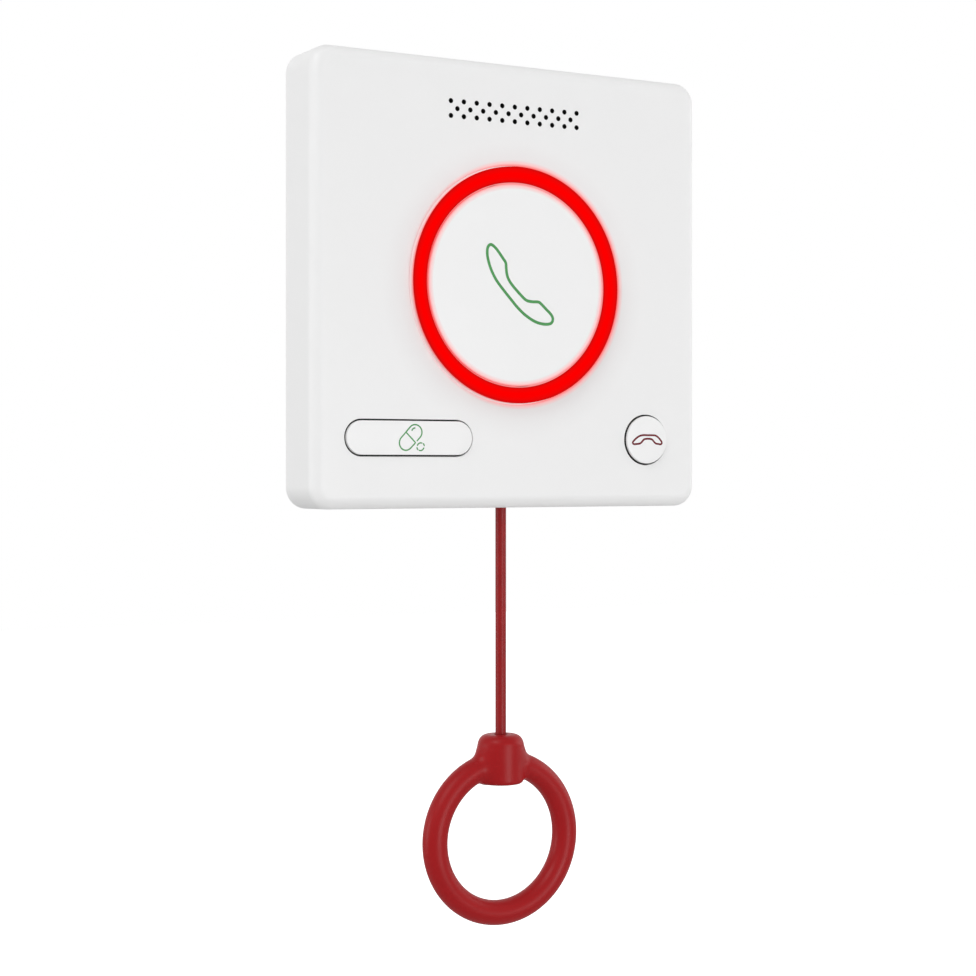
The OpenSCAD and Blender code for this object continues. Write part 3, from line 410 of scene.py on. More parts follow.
def beside_ring(tree, far, away, stops):
    """Colours that change with the distance from the light ring, on both of its sides."""
    stops = [(HALO_W, away), *stops]
    return ramp(tree, far, RING_INNER_R - HALO_W, RING_OUTER_R + HALO_W, [
        *[(RING_INNER_R - gap, color) for gap, color in stops],
        *[(RING_OUTER_R + gap, color) for gap, color in reversed(stops)],
    ])


def lit_panel(name, color, shift=(0, 0), depth=0.0):
    """White moulded surface with a painted red glow beside the ring, in its colour and as faint light of its
    own, and outside the ring a painted soft shade, a share depth deep."""
    material, tree, shader = new_material(name, color, 0.4, specular=0.4)
    far = from_axis(tree, shift)
    # Painted red glow: the colour turns pink, then red, towards the ring
    painted_light = beside_ring(tree, far, color, [
        (1.3, (0.85, 0.71, 0.71)), (0.95, (0.87, 0.63, 0.63)),
        (0.65, (0.88, 0.47, 0.47)), (0, (0.9, 0.1, 0.1))])
    if depth:
        # Painted shade: the panel's colour darkens towards the ring, more below it
        gap = from_axis(tree, SHADE_SHIFT)
        painted_shade = ramp(tree, gap, RING_OUTER_R, RING_OUTER_R + SHADE_W, [
            (RING_OUTER_R + 1, grey(1 - depth)), (RING_OUTER_R + 4, grey(1 - depth / 2)),
            (RING_OUTER_R + SHADE_W, grey(1))])
        painted_light = mix_color(tree, None, painted_light, painted_shade, "MULTIPLY")
    finish_surface(tree, shader, painted_light, 0.4, 0.25, 0.003)
    # Painted red glow: the surface gives off faint red light of its own beside the ring
    light = beside_ring(tree, far, (0, 0, 0), [(1.0, (0.1, 0, 0)), (0, (0.2, 0, 0))])
    tree.links.new(light, shader.inputs["Emission Color"])
    shader.inputs["Emission Strength"].default_value = 1.0
    return material


def level_of(tree):
    """Level of a place in front of the wall, in millimetres."""
    parts = add(tree, "ShaderNodeSeparateXYZ")
    tree.links.new(object_place(tree), parts.inputs["Vector"])
    scaled = add(tree, "ShaderNodeMath", operation="DIVIDE")
    scaled.inputs[1].default_value = -MM
    tree.links.new(parts.outputs["Y"], scaled.inputs[0])
    return scaled.outputs[0]


def lit_ring(name):
    """Light guide, lit from inside: red over its face, darker along the face's edges, and paling to pink down
    its walls in a painted glow, with a painted pink glow on its inner wall."""
    material, tree, shader = new_material(name, (0.02, 0.0, 0.0), 0.4, specular=0.0)
    far, level = from_axis(tree), level_of(tree)
    edge, near, face = (0.58, 0.004, 0.004), (0.84, 0.002, 0.002), (0.97, 0.0, 0.0)
    light = ramp(tree, far, RING_INNER_R, RING_OUTER_R, [
        (RING_INNER_R + 0.15, edge), (RING_INNER_R + 0.7, near), (RING_INNER_R + 1.7, face),
        (RING_OUTER_R - 1.9, face), (RING_OUTER_R - 0.8, near), (RING_OUTER_R - 0.15, edge),
    ])
    top = RING_TOP_OUTER
    # The outer wall gives off the guide's red light near its top, and a painted pink glow by the panel
    wall = ramp(tree, level, FRONT, top, [
        (FRONT + 0.1, (0.12, 0.07, 0.07)), (top - 0.55, (0.3, 0.04, 0.04)), (top - 0.1, edge)])
    outside = spread(tree, far, 0.0, 1.0, RING_OUTER_R - 0.06, RING_OUTER_R - 0.02)
    # Painted glow: the inner wall gives off pink light where the gap to the call button lies in shade
    inside = spread(tree, far, 0.0, 1.0, RING_INNER_R + 0.05, RING_INNER_R + 0.01)
    walls = mix_color(tree, outside, light, wall)
    tree.links.new(mix_color(tree, inside, walls, (0.92, 0.32, 0.32)), shader.inputs["Emission Color"])
    shader.inputs["Emission Strength"].default_value = 1.0
    dark = mix_color(tree, noise(tree, 1.5), (0.018, 0.0, 0.0), (0.022, 0.0, 0.0))
    # Painted pink glow in the walls' colour, pale by the panel and darkening towards the face
    painted_pink_glow = ramp(tree, level, FRONT, top, [
        (FRONT + 0.1, (0.9, 0.76, 0.76)), (FRONT + 0.8, (0.85, 0.52, 0.52)),
        (top - 0.55, (0.75, 0.28, 0.28)), (top - 0.1, (0.05, 0.0, 0.0))])
    tree.links.new(mix_color(tree, outside, dark, painted_pink_glow), shader.inputs["Base Color"])
    tree.links.new(spread(tree, noise(tree, 1.5), 0.35, 0.45), shader.inputs["Roughness"])
    add_bump(tree, shader, noise(tree, 0.4), 0.002)
    return material


def lit_print(name, color, strength):
    """Coloured print of a pictogram over its lamp."""
    material, tree, shader = new_material(name, color, 0.5, specular=0.2)
    finish_surface(tree, shader, color, 0.5, 0.1, 0.002, patches=1.0, vary=0.05)
    shader.inputs["Emission Color"].default_value = (*color, 1)
    shader.inputs["Emission Strength"].default_value = strength
    return material


def cord_sleeve(name, color):
    """Smooth satin sleeve with faint lengthways draw lines."""
    material, tree, shader = new_material(name, color, 0.42, specular=0.25)
    finish_surface(tree, shader, color, 0.42, 0.12, 0.006, patches=3.0, vary=0.12, stretch=(1, 1, 25))
    return material


SLOT_MATERIALS = {
    # The cover's and the caps' white carry a painted red glow near the ring, and the cover's also a painted
    # shade round it
    "cover_white": lambda name: lit_panel(name, PANEL_WHITE, HALO_SHIFT, SHADE_DEPTH),
    "button_white": lambda name: lit_panel(name, CAP_WHITE),
    "plate_grey": lambda name: moulded(name, (0.62, 0.63, 0.64), 0.55, 0.3, 0.01),
    "steel": lambda name: metal(name, (0.62, 0.63, 0.65)),
    "mesh_black": lambda name: cloth(name, (0.012, 0.012, 0.012)),
    "foam_black": lambda name: foam(name, (0.02, 0.02, 0.02)),
    "black_metal": lambda name: moulded(name, (0.03, 0.03, 0.034), 0.4, 0.15, 0.006),
    "cone_grey": lambda name: moulded(name, (0.1, 0.1, 0.11), 0.6, 0.4, 0.02),
    "connector_ivory": lambda name: moulded(name, (0.8, 0.75, 0.6), 0.45),
    "wire_red": lambda name: moulded(name, (0.4, 0.015, 0.015), 0.35, 0.3, 0.003),
    "microphone_metal": lambda name: metal(name, (0.75, 0.75, 0.76), 0.25),
    "rubber_black": lambda name: moulded(name, (0.025, 0.025, 0.025), 0.75, 0.25, 0.01),
    "ring_light_red": lit_ring,
    "reflector_white": lambda name: moulded(name, (0.88, 0.88, 0.88), 0.2, 0.5, 0.002),
    "lamp_white": lambda name: moulded(name, (0.9, 0.86, 0.66), 0.25, 0.4, 0.004),
    "black_plastic": lambda name: moulded(name, (0.022, 0.022, 0.024), 0.5, 0.15, 0.006),
    "board_green": lambda name: board_lacquer(name, (0.015, 0.16, 0.06)),
    "shield_metal": lambda name: metal(name, (0.68, 0.68, 0.67), 0.35, stretch=(6, 1, 1)),
    "chip_black": lambda name: moulded(name, (0.02, 0.02, 0.02), 0.6, 0.08, 0.005),
    "can_metal": lambda name: metal(name, (0.7, 0.7, 0.72), 0.3),
    "terminal_green": lambda name: moulded(name, (0.04, 0.3, 0.12), 0.45, 0.2, 0.008),
    "brass_screw": lambda name: metal(name, (0.68, 0.55, 0.28), 0.35),
    "guide_white": lambda name: moulded(name, (0.8, 0.8, 0.78), 0.35, 0.25, 0.003),
    "bush_white": lambda name: moulded(name, (0.8, 0.8, 0.8), 0.35, 0.25, 0.003),
    "red_plastic": lambda name: moulded(name, (0.45, 0.02, 0.02), 0.45, 0.2, 0.005),
    "cord_red": lambda name: cord_sleeve(name, (0.27, 0.005, 0.006)),
    "ring_red": lambda name: moulded(name, (0.33, 0.006, 0.008), 0.38, 0.5, 0.004, specular=0.17),
}


def dress_nodes():
    """Each CAD node gets its slot's material. Returns the materials by slot."""
    made = {slot: make(slot) for slot, make in SLOT_MATERIALS.items()}
    for part in frame["record"]["subparts"]:
        mesh = frame["nodes"][part["node"]].data
        mesh.materials.clear()
        mesh.materials.append(made[part["material_slot"]])
    return made


# Mesh building. Points are (x, z, level) in millimetres.
class Skin:
    """A mesh of patches with shared points, and a normal of its own at each corner of a face."""

    def __init__(self):
        self.index, self.points, self.faces, self.normals = {}, [], [], []

    def point(self, place):
        key = tuple(round(c * 10000) for c in place)
        if key not in self.index:
            self.index[key] = len(self.points)
            self.points.append(place)
        return self.index[key]

    def face(self, corners):
        kept = {}
        for place, normal in corners:
            kept.setdefault(self.point(place), Vector(normal))
        if len(kept) < 3:
            return
        order = list(kept)
        a, b, c = (Vector(self.points[i]) for i in order[:3])
        if (b - a).cross(c - a).dot(sum(kept.values(), Vector())) < 0:
            order.reverse()
        self.faces.append(order)
        self.normals.extend(kept[i] for i in order)

    def fill(self, loops, normal):
        """Flat face inside the first loop and outside the others."""
        clean = []
        for loop in loops:
            seen = dict.fromkeys(self.point(place) for place in loop)
            clean.append([self.points[i] for i in seen])
        flat = [place for loop in clean for place in loop]
        for triangle in tessellate_polygon([[Vector(p) for p in loop] for loop in clean]):
            self.face([(flat[i], normal) for i in triangle])

    def build(self, name, body, slot, material, *nodes):
        mesh = bpy.data.meshes.new(name)
        mesh.from_pydata([(x * MM, -level * MM, z * MM) for x, z, level in self.points], [], self.faces)
        mesh.polygons.foreach_set("use_smooth", [True] * len(self.faces))
        mesh.normals_split_custom_set([(n[0], -n[2], n[1]) for n in self.normals])
        mesh.materials.append(material)
        obj = bpy.data.objects.new(name, mesh)
        bpy.context.scene.collection.objects.link(obj)
        return place_piece(obj, body, slot, *nodes)


def place_piece(obj, body, slot, *nodes):
    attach(obj, body)
    if nodes:
        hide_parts(*nodes)
    return obj


def outline(spine, distance, steps):
    """Points round a box-shaped spine at a distance from it, with their outward directions."""
    ring = []
    for quarter, (side, rise) in enumerate([(1, 1), (-1, 1), (-1, -1), (1, -1)]):
        for i in range(steps + 1):
            turn = math.pi / 2 * (quarter + i / steps)
            out = (math.cos(turn), math.sin(turn))
            ring.append((side * spine[0] + distance * out[0], rise * spine[1] + distance * out[1], *out))
    return ring


def loop_at(centre, spine, distance, level, steps):
    return [(centre[0] + x, centre[1] + z, level) for x, z, _, _ in outline(spine, distance, steps)]


def lathe(skin, centre, spine, profile, steps, open_below=False):
    """Sweeps a profile round a spine. A profile point is its distance, its level and its tilt:
    0 faces outwards, 90 the front, 180 inwards and -90 the wall. The straight side below the
    spine can be left open."""
    below = 3 * (steps + 1) - 1
    rings = []
    for distance, level, tilt in profile:
        flat, up = math.cos(math.radians(tilt)), math.sin(math.radians(tilt))
        rings.append([
            ((centre[0] + x, centre[1] + z, level), (dx * flat, dz * flat, up))
            for x, z, dx, dz in outline(spine, distance, steps)])
    for low, high in zip(rings, rings[1:]):
        for i in range(len(low)):
            j = (i + 1) % len(low)
            if i != below or not open_below:
                skin.face([low[i], low[j], high[j], high[i]])


def rounded(distance, level, radius, start, end, hollow=False, steps=6):
    """Profile points of a rounded edge round a centre. A hollow one faces its centre."""
    points = []
    for i in range(steps + 1):
        tilt = start + (end - start) * i / steps
        turn = math.radians(tilt)
        points.append((
            distance + radius * math.cos(turn), level + radius * math.sin(turn),
            tilt + 180 if hollow else tilt))
    return points


# Front cover
def grille_holes():
    for row in (-1, 0, 1):
        holes = ROW_HOLES - 1 if row == 0 else ROW_HOLES
        for i in range(holes):
            yield (i - (holes - 1) / 2) * HOLE_PITCH, GRILLE_Z + row * ROW_PITCH


def cover_openings():
    """Each opening's centre, spine, distance, lip radius, steps of a quarter turn and inner level."""
    straight = (PILL_SIZE[0] - PILL_SIZE[1]) / 2
    yield (0, 0), (0, 0), RING_OUTER_R + FACE_GAP, LIP_R, 32, INNER
    yield PILL_CENTRE, (straight, 0), PILL_SIZE[1] / 2 - OPENING_DRAFT, LIP_R, 14, INNER
    yield HANGUP_CENTRE, (0, 0), HANGUP_D / 2 - OPENING_DRAFT, LIP_R, 18, INNER
    for centre in grille_holes():
        yield centre, (0, 0), HOLE_D / 2, HOLE_LIP, 6, GRILLE_BACK


def bottom_loop(hole, z, steps=32):
    """Round loop at a height of the bottom wall, cut off just before the edge's round starts."""
    x, level, radius = hole
    last = FRONT - EDGE_R - EDGE_MARGIN
    turns = [2 * math.pi * i / steps for i in range(steps)]
    return [(x + radius * math.cos(t), z, min(level + radius * math.sin(t), last)) for t in turns]


def bottom_hole(skin, hole, low, high):
    """Wall of a hole that runs up through the bottom wall."""
    x, level, radius = hole
    rings = [
        [(place, (x - place[0], 0, level - place[2])) for place in bottom_loop(hole, z)] for z in (low, high)]
    for i in range(len(rings[0])):
        j = (i + 1) % len(rings[0])
        skin.face([rings[0][i], rings[0][j], rings[1][j], rings[1][i]])


def make_bottom(skin, side):
    """Flat faces of the bottom wall, with its openings for the bush, the sound and the lock screws."""
    outside, inside = cover_low.z, cover_low.z + WALL
    seat = outside + LOCK_HEAD_DEPTH
    through = [(0, BUSH_LEVEL, BUSH_HOLE_R), SOUND_HOLE]
    heads = [(x, LOCK_LEVEL, LOCK_HEAD_R) for x in (-LOCK_X, LOCK_X)]
    shanks = [(x, LOCK_LEVEL, LOCK_HOLE_R) for x in (-LOCK_X, LOCK_X)]
    last = FRONT - EDGE_R
    sheets = [
        (outside, REAR + REAR_ROUND, -1, through + heads),
        (inside, REAR, 1, through + shanks),
    ]
    for z, start, up, holes in sheets:
        corners = [(-side, start), (side, start), (side, last), (-side, last)]
        sheet = [(x, z, level) for x, level in corners]
        skin.fill([sheet] + [bottom_loop(hole, z) for hole in holes], (0, up, 0))
    for head, shank in zip(heads, shanks):
        skin.fill([bottom_loop(head, seat), bottom_loop(shank, seat)], (0, -1, 0))
        bottom_hole(skin, head, outside, seat)
        bottom_hole(skin, shank, seat, inside)
    for hole in through:
        bottom_hole(skin, hole, outside, inside)


def make_cover(material):
    """Shell of the cover: sides with rounded edges, bottom wall, panel, and thinner grille."""
    skin = Skin()
    spine = (cover_high.x - CORNER_R, cover_high.z - CORNER_R)
    edge = CORNER_R - EDGE_R
    rear = [(CORNER_R - WALL, REAR, -90)]
    rear += rounded(CORNER_R - REAR_ROUND, REAR + REAR_ROUND, REAR_ROUND, -90, 0, steps=3)
    front_edge = rounded(edge, FRONT - EDGE_R, EDGE_R, 0, 90, steps=16)
    inner_edge = rounded(edge, FRONT - EDGE_R, EDGE_R - WALL, 0, 90, hollow=True)
    for profile in (rear, front_edge, inner_edge):
        lathe(skin, (0, 0), spine, profile, 16)
    for side in ([rear[-1], front_edge[0]], [(CORNER_R - WALL, REAR, 180), inner_edge[0]]):
        lathe(skin, (0, 0), spine, side, 16, open_below=True)
    make_bottom(skin, spine[0])
    recess = (0, GRILLE_Z), GRILLE_SPINE
    lathe(skin, *recess, [(GRILLE_ROOM, GRILLE_BACK, 180), (GRILLE_ROOM, INNER, 180)], 4)
    front = [loop_at((0, 0), spine, edge, FRONT, 16)]
    back = {
        INNER: [loop_at((0, 0), spine, edge, INNER, 16), loop_at(*recess, GRILLE_ROOM, INNER, 4)],
        GRILLE_BACK: [loop_at(*recess, GRILLE_ROOM, GRILLE_BACK, 4)],
    }
    for centre, hole_spine, distance, lip, steps, base in cover_openings():
        wall = rounded(distance + lip, FRONT - lip, lip, 90, 180, steps=4)
        wall.append((distance, base, 180))
        lathe(skin, centre, hole_spine, wall, steps)
        front.append(loop_at(centre, hole_spine, distance + lip, FRONT, steps))
        back[base].append(loop_at(centre, hole_spine, distance, base, steps))
    skin.fill(front, (0, 0, 1))
    for loops in back.values():
        skin.fill(loops, (0, 0, -1))
    return skin.build("cover_shell", "housing", "cover_white", material, "front_cover")


# Light ring
def make_light_ring(material):
    """Ring whose face falls towards the call button, with a ledge inside and a foot on the panel."""
    skin = Skin()
    slope = math.degrees(math.atan2(RING_TOP_OUTER - RING_TOP_INNER, RING_OUTER_R - RING_INNER_R))
    face = 90 + slope
    ledge, back = RING_TOP_INNER - RING_LEDGE_DEPTH, -ring_high.y
    profile = [(RING_INNER_R, back, 180), (RING_INNER_R, ledge - RING_LEDGE, 180)]
    profile += [(RING_INNER_R - RING_LEDGE, ledge, 180), (RING_INNER_R - RING_LEDGE, ledge, 90)]
    profile += [(RING_INNER_R, ledge, 90), (RING_INNER_R, ledge, 180)]
    profile += rounded(RING_INNER_R + RING_ROUND, RING_TOP_INNER - RING_ROUND, RING_ROUND, 180, face)
    profile += rounded(
        RING_OUTER_R - RING_EDGE, RING_TOP_OUTER - RING_EDGE, RING_EDGE, face, 0, steps=3)
    foot, foot_top = RING_OUTER_R + RING_FOOT, FRONT + RING_FOOT_T
    profile += [(RING_OUTER_R, FRONT + RING_FOOT, 0), (foot, foot_top, 60)]
    profile += [(foot, foot_top, -90), (RING_OUTER_R, FRONT, -90)]
    profile += [(RING_OUTER_R, FRONT, 0), (RING_OUTER_R, INNER, 0), (RING_OUTER_R, INNER, 90)]
    profile += [(ring_high.x, INNER, 90), (ring_high.x, INNER, 0)]
    profile += [(ring_high.x, back, 0), (ring_high.x, back, -90), (RING_INNER_R, back, -90)]
    lathe(skin, (0, 0), (0, 0), profile, 40)
    return skin.build("ring_light", "housing", "ring_light_red", material, "light_ring")


# Caps of the buttons
class Cap:
    """Crowned cap over a spine, with a rounded rim and a hollow back."""

    def __init__(self, centre, straight, half, top, crown, edge, base):
        self.centre, self.spine, self.half = centre, (straight, 0), half
        self.top, self.crown, self.edge, self.base = top, crown, edge, base

    def level_at(self, distance):
        return self.top - self.crown * (distance / self.half) ** 2

    def level_over(self, x, z):
        """Level of the face over a place on the panel."""
        along = max(0.0, abs(x - self.centre[0]) - self.spine[0])
        return self.level_at(math.hypot(along, z - self.centre[1]))

    def tilt_at(self, distance):
        return 90 - math.degrees(math.atan(2 * self.crown * distance / self.half ** 2))

    def profile(self, wall, roof, flange=None, rows=14):
        rim = self.tilt_at(self.half)
        turn = math.radians(rim)
        last = self.half - self.edge + self.edge * math.cos(turn)
        middle = self.level_at(last) - self.edge * math.sin(turn)
        face = [last * i / rows for i in range(rows)]
        points = [(d, self.level_at(d), self.tilt_at(d)) for d in face]
        points += rounded(self.half - self.edge, middle, self.edge, rim, 0)
        if flange:
            out, thick = flange
            points += [(self.half, self.base + thick, 0), (self.half, self.base + thick, 90)]
            points += [(out, self.base + thick, 90), (out, self.base + thick, 0)]
            points += [(out, self.base, 0), (out, self.base, -90)]
        else:
            points += [(self.half, self.base, 0), (self.half, self.base, -90)]
        inside = self.half - wall
        points += [(inside, self.base, -90), (inside, self.base, 180)]
        points += [(inside, self.top - roof, 180), (inside, self.top - roof, -90)]
        points += [(0, self.top - roof, -90)]
        return points


def add_posts(skin, places, post):
    """Round posts inside a cap, each with a radius, a lower end and an upper end."""
    radius, base, top = post
    for place in places:
        profile = [(0, base, -90), (radius, base, -90), (radius, base, 0), (radius, top, 0)]
        lathe(skin, place, (0, 0), profile, 6)


CALL_CAP = Cap((0, 0), 0, CALL_R, CALL_TOP, CALL_CROWN, CALL_EDGE, CALL_BASE)
PILL_CAP = Cap(
    PILL_CENTRE, (PILL_SIZE[0] - PILL_SIZE[1]) / 2, PILL_SIZE[1] / 2 - BUTTON_GAP,
    PILL_TOP, BUTTON_CROWN, BUTTON_EDGE, BUTTON_BASE)
HANGUP_CAP = Cap(
    HANGUP_CENTRE, 0, HANGUP_D / 2 - BUTTON_GAP, HANGUP_TOP, BUTTON_CROWN, BUTTON_EDGE, BUTTON_BASE)


def make_caps(material):
    skin = Skin()
    lathe(skin, CALL_CAP.centre, CALL_CAP.spine, CALL_CAP.profile(CALL_WALL, CALL_ROOF), 32)
    aside = CALL_SPRING_FAR / math.sqrt(2)
    add_posts(skin, [(x, z) for x in (-aside, aside) for z in (-aside, aside)], CALL_SPRING_POST)
    add_posts(skin, [(0, 0)], CALL_SWITCH_POST)
    skin.build("call_cap", "call_button", "button_white", material, "call_button_cap")

    skin = Skin()
    flange = (PILL_SIZE[1] / 2 + FLANGE_W, FLANGE_T)
    lathe(skin, PILL_CAP.centre, PILL_CAP.spine, PILL_CAP.profile(BUTTON_WALL, BUTTON_ROOF, flange), 14)
    aside = (-PILL_SPRING_FAR, PILL_SPRING_FAR)
    add_posts(skin, [(PILL_CENTRE[0] + x, PILL_CENTRE[1]) for x in aside], PILL_SPRING_POST)
    add_posts(skin, [PILL_CENTRE], PILL_SWITCH_POST)
    skin.build("pill_cap", "pill_button", "button_white", material, "pill_button_cap")

    skin = Skin()
    flange = (HANGUP_D / 2 + FLANGE_W, FLANGE_T)
    profile = HANGUP_CAP.profile(BUTTON_WALL, BUTTON_ROOF, flange)
    lathe(skin, HANGUP_CAP.centre, HANGUP_CAP.spine, profile, 18)
    add_posts(skin, [HANGUP_CENTRE], HANGUP_SWITCH_POST)
    skin.build("hangup_cap", "hangup_button", "button_white", material, "hangup_button_cap")


def make_shade_sleeve(name, cap, body, high, material):
    """Thin dark sleeve round a small cap, painted shade which shows in the gap, with a foot on the cap's
    flange.
    """
    flange = cap.base + FLANGE_T
    low, out = flange + SHADE_SLEEVE_FOOT_T, cap.half + SHADE_SLEEVE_T
    foot = out + BUTTON_GAP
    profile = [(foot, flange, 0), (foot, low, 0), (foot, low, 90), (out, low, 90), (out, low, 0)]
    profile += [(out, high - SHADE_SLEEVE_T, 0), (out - SHADE_SLEEVE_T / 2, high, 45), (cap.half, high, 90)]
    skin = Skin()
    lathe(skin, cap.centre, cap.spine, profile, 16)
    skin.build(name, body, "rubber_black", material)


def make_grille_shade_lining(material):
    """Dark lining of the holes of the speaker grille, painted shade on the holes' walls."""
    skin = Skin()
    radius = HOLE_D / 2
    inside, top = radius - SHADE_LINING_T, FRONT - SHADE_LINING_DROP
    profile = [(radius + SHADE_LINING_TUCK, top, 135), (inside, top - SHADE_LINING_SLOPE, 180)]
    profile.append((inside, GRILLE_BACK, 180))
    for centre in grille_holes():
        lathe(skin, centre, (0, 0), profile, 6)
    skin.build("grille_shade_lining", "housing", "mesh_black", material)


# Solder joints on the board's back: each row's first place, step and number of joints
SOLDER_ROWS = [
    ((-17.0, -3.5), (2.54, 0), 6), ((-17.0, -6.04), (2.54, 0), 6), ((5.0, -8.0), (2.5, 0), 5),
    ((16.5, 12.0), (0, -4.5), 3), ((-16.5, 12.5), (0, -6.0), 2),
]
# Side of a joint: radius, height over the board and tilt
SOLDER_CONE = [(0.95, 0, -30), (0.6, 0.22, -40), (0.4, 0.6, -30), (0.22, 0.85, -60), (0, 0.92, -90)]


def make_solder_joints(material):
    skin = Skin()
    level = -box_mm("main_board")[1].y
    profile = [(radius, level - height, tilt) for radius, height, tilt in SOLDER_CONE]
    for (x, z), (right, up), count in SOLDER_ROWS:
        for i in range(count):
            lathe(skin, (x + right * i, z + up * i), (0, 0), profile, 4)
    skin.build("solder_joints", "housing", "can_metal", material)


# Pictograms: centre lines in millimetres on the panel
HANDSET = [
    (-8.9, 10.9), (-7.6, 10.25), (-6.35, 8.95), (-4.95, 7.2), (-4.1, 6.0), (-3.95, 4.5), (-3.7, 2.75),
    (-3.15, 1.4), (-2.15, 0.05), (-0.4, -1.7), (1.2, -3.15), (2.65, -4.2), (4.4, -4.5), (6.35, -4.5),
    (7.25, -4.85), (9.2, -6.5), (10.8, -7.9), (11.4, -9.1), (10.9, -10.3), (9.2, -10.7), (7.0, -10.5),
    (5.2, -9.95), (3.5, -9.1), (1.7, -7.95), (-0.4, -6.2), (-2.5, -4.05), (-4.6, -1.85), (-6.7, 0.5),
    (-7.9, 2.25), (-8.95, 4.3), (-9.65, 6.35), (-10.0, 8.15), (-9.85, 10.0),
]
HANGUP = [
    (39.2, -44.0), (39.6, -44.4), (40.6, -44.35), (41.5, -44.25), (42.1, -43.95), (42.6, -43.4),
    (43.1, -43.0), (43.7, -42.85), (44.5, -42.8), (45.5, -42.88), (46.1, -43.2), (46.7, -43.8),
    (47.3, -44.2), (48.1, -44.3), (48.9, -44.4), (49.35, -44.2), (49.4, -43.8), (49.05, -43.3),
    (48.35, -42.6), (47.5, -42.0), (46.7, -41.8), (45.5, -41.76), (44.4, -41.78), (43.0, -41.75),
    (42.2, -41.85), (41.35, -42.1), (40.3, -42.75), (39.5, -43.5),
]
HANGUP_SHIFT = -0.14
HANDSET_W = 0.85
HANGUP_W = 0.56
CAPSULE_W = 0.38
ARROWS_W = 0.36
CAPSULE_ENDS = ((-32.1, -41.5), (-34.95, -44.45))
CAPSULE_R = 2.05
CAPSULE_GAP = 0.75
ARROWS_CENTRE = (-30.45, -45.5)
ARROWS_R = 1.05


def arc_line(centre, radius, start, end, steps=12):
    turns = [math.radians(start + (end - start) * i / steps) for i in range(steps + 1)]
    return [(centre[0] + radius * math.cos(t), centre[1] + radius * math.sin(t)) for t in turns]


def smooth_line(points, steps=5):
    """Closed curve through the points."""
    count = len(points)
    line = []
    for i in range(count):
        p = [Vector(points[(i + k) % count]) for k in (-1, 0, 1, 2)]
        for j in range(steps):
            t = j / steps
            line.append(tuple(0.5 * (
                2 * p[1] + (p[2] - p[0]) * t + (2 * p[0] - 5 * p[1] + 4 * p[2] - p[3]) * t * t
                + (3 * p[1] - p[0] - 3 * p[2] + p[3]) * t ** 3)))
    return line


def finely(line, closed, longest=0.4):
    """The line with its long stretches divided, so that it can follow a crowned face."""
    ends = line[1:] + line[:1] if closed else line[1:]
    points = []
    for a, b in zip(line, ends):
        count = max(1, math.ceil(math.dist(a, b) / longest))
        points += [(a[0] + (b[0] - a[0]) * i / count, a[1] + (b[1] - a[1]) * i / count) for i in range(count)]
    return points if closed else points + [line[-1]]


def capsule_lines():
    """Lines of the capsule: its lower half with the dividing line, its upper half, open by a gap,
    and a glint."""
    upper, lower = (Vector(end) for end in CAPSULE_ENDS)
    along = (upper - lower).normalized()
    lean = math.degrees(math.atan2(along.y, along.x))
    side = Vector((-along.y, along.x))
    middle = (upper + lower) / 2
    left, right = (tuple(middle + side * CAPSULE_R * k) for k in (1, -1))
    low_half = [left] + arc_line(lower, CAPSULE_R, lean + 90, lean + 270) + [right]
    end = tuple(Vector(right) + along * CAPSULE_GAP)
    high_half = [left] + arc_line(upper, CAPSULE_R, lean + 90, lean - 90) + [end]
    glint = arc_line(upper, CAPSULE_R * 0.55, lean + 50, lean + 110, 5)
    return [(low_half, True), (high_half, False), (glint, False)]


def arrow_lines():
    """Two arcs that follow each other round a circle, each with a small head before its end."""
    lines = []
    for turn in (0, 180):
        lines.append((arc_line(ARROWS_CENTRE, ARROWS_R, turn + 160, turn + 70, 8), False))
        lines.append((arc_line(ARROWS_CENTRE, ARROWS_R * 1.1, turn + 45, turn + 15, 3), False))
    return lines


PRINT_LIFT = 0.03
PRINT_SINK = 0.03
# Section of a print: a share of its half width, its lift over the face and its tilt
PRINT_SECTION = [
    (-1, -PRINT_SINK, 0), (-1, PRINT_LIFT / 2, 0), (-0.8, PRINT_LIFT, 90),
    (0.8, PRINT_LIFT, 90), (1, PRINT_LIFT / 2, 180), (1, -PRINT_SINK, 180),
]


def add_stroke(skin, cap, line, closed, width):
    """Raised print along a line on a cap, with round ends."""
    half = width / 2
    points = [Vector(p) for p in finely(line, closed)]
    count = len(points)
    sections = []
    for i, point in enumerate(points):
        before = points[i - 1] if closed or i else point
        after = points[(i + 1) % count] if closed or i < count - 1 else point
        along = (after - before).normalized()
        sections.append((point, along, half))
    if not closed:
        for end, sign in ((0, -1), (-1, 1)):
            point, along, _ = sections[end]
            extra = []
            for turn in map(math.radians, (30, 60, 85)):
                extra.append((point + along * sign * half * math.sin(turn), along, half * math.cos(turn)))
            sections = extra[::-1] + sections if end == 0 else sections + extra
    rings = []
    for point, along, wide in sections:
        side = Vector((-along.y, along.x))
        ring = []
        for offset, lift, tilt in PRINT_SECTION:
            place = point + side * wide * offset
            up = math.sin(math.radians(tilt))
            out = side * (0 if up else math.copysign(1, offset))
            ring.append(((place.x, place.y, cap.level_over(*place) + lift), (out.x, out.y, up + 0.2)))
        rings.append(ring)
    last = len(rings) if closed else len(rings) - 1
    for i in range(last):
        near, far = rings[i], rings[(i + 1) % len(rings)]
        for j in range(len(near) - 1):
            skin.face([near[j], near[j + 1], far[j + 1], far[j]])


def make_print(name, cap, body, material, strokes):
    skin = Skin()
    for line, closed, width in strokes:
        add_stroke(skin, cap, line, closed, width)
    skin.build(name, body, "button_white", material)


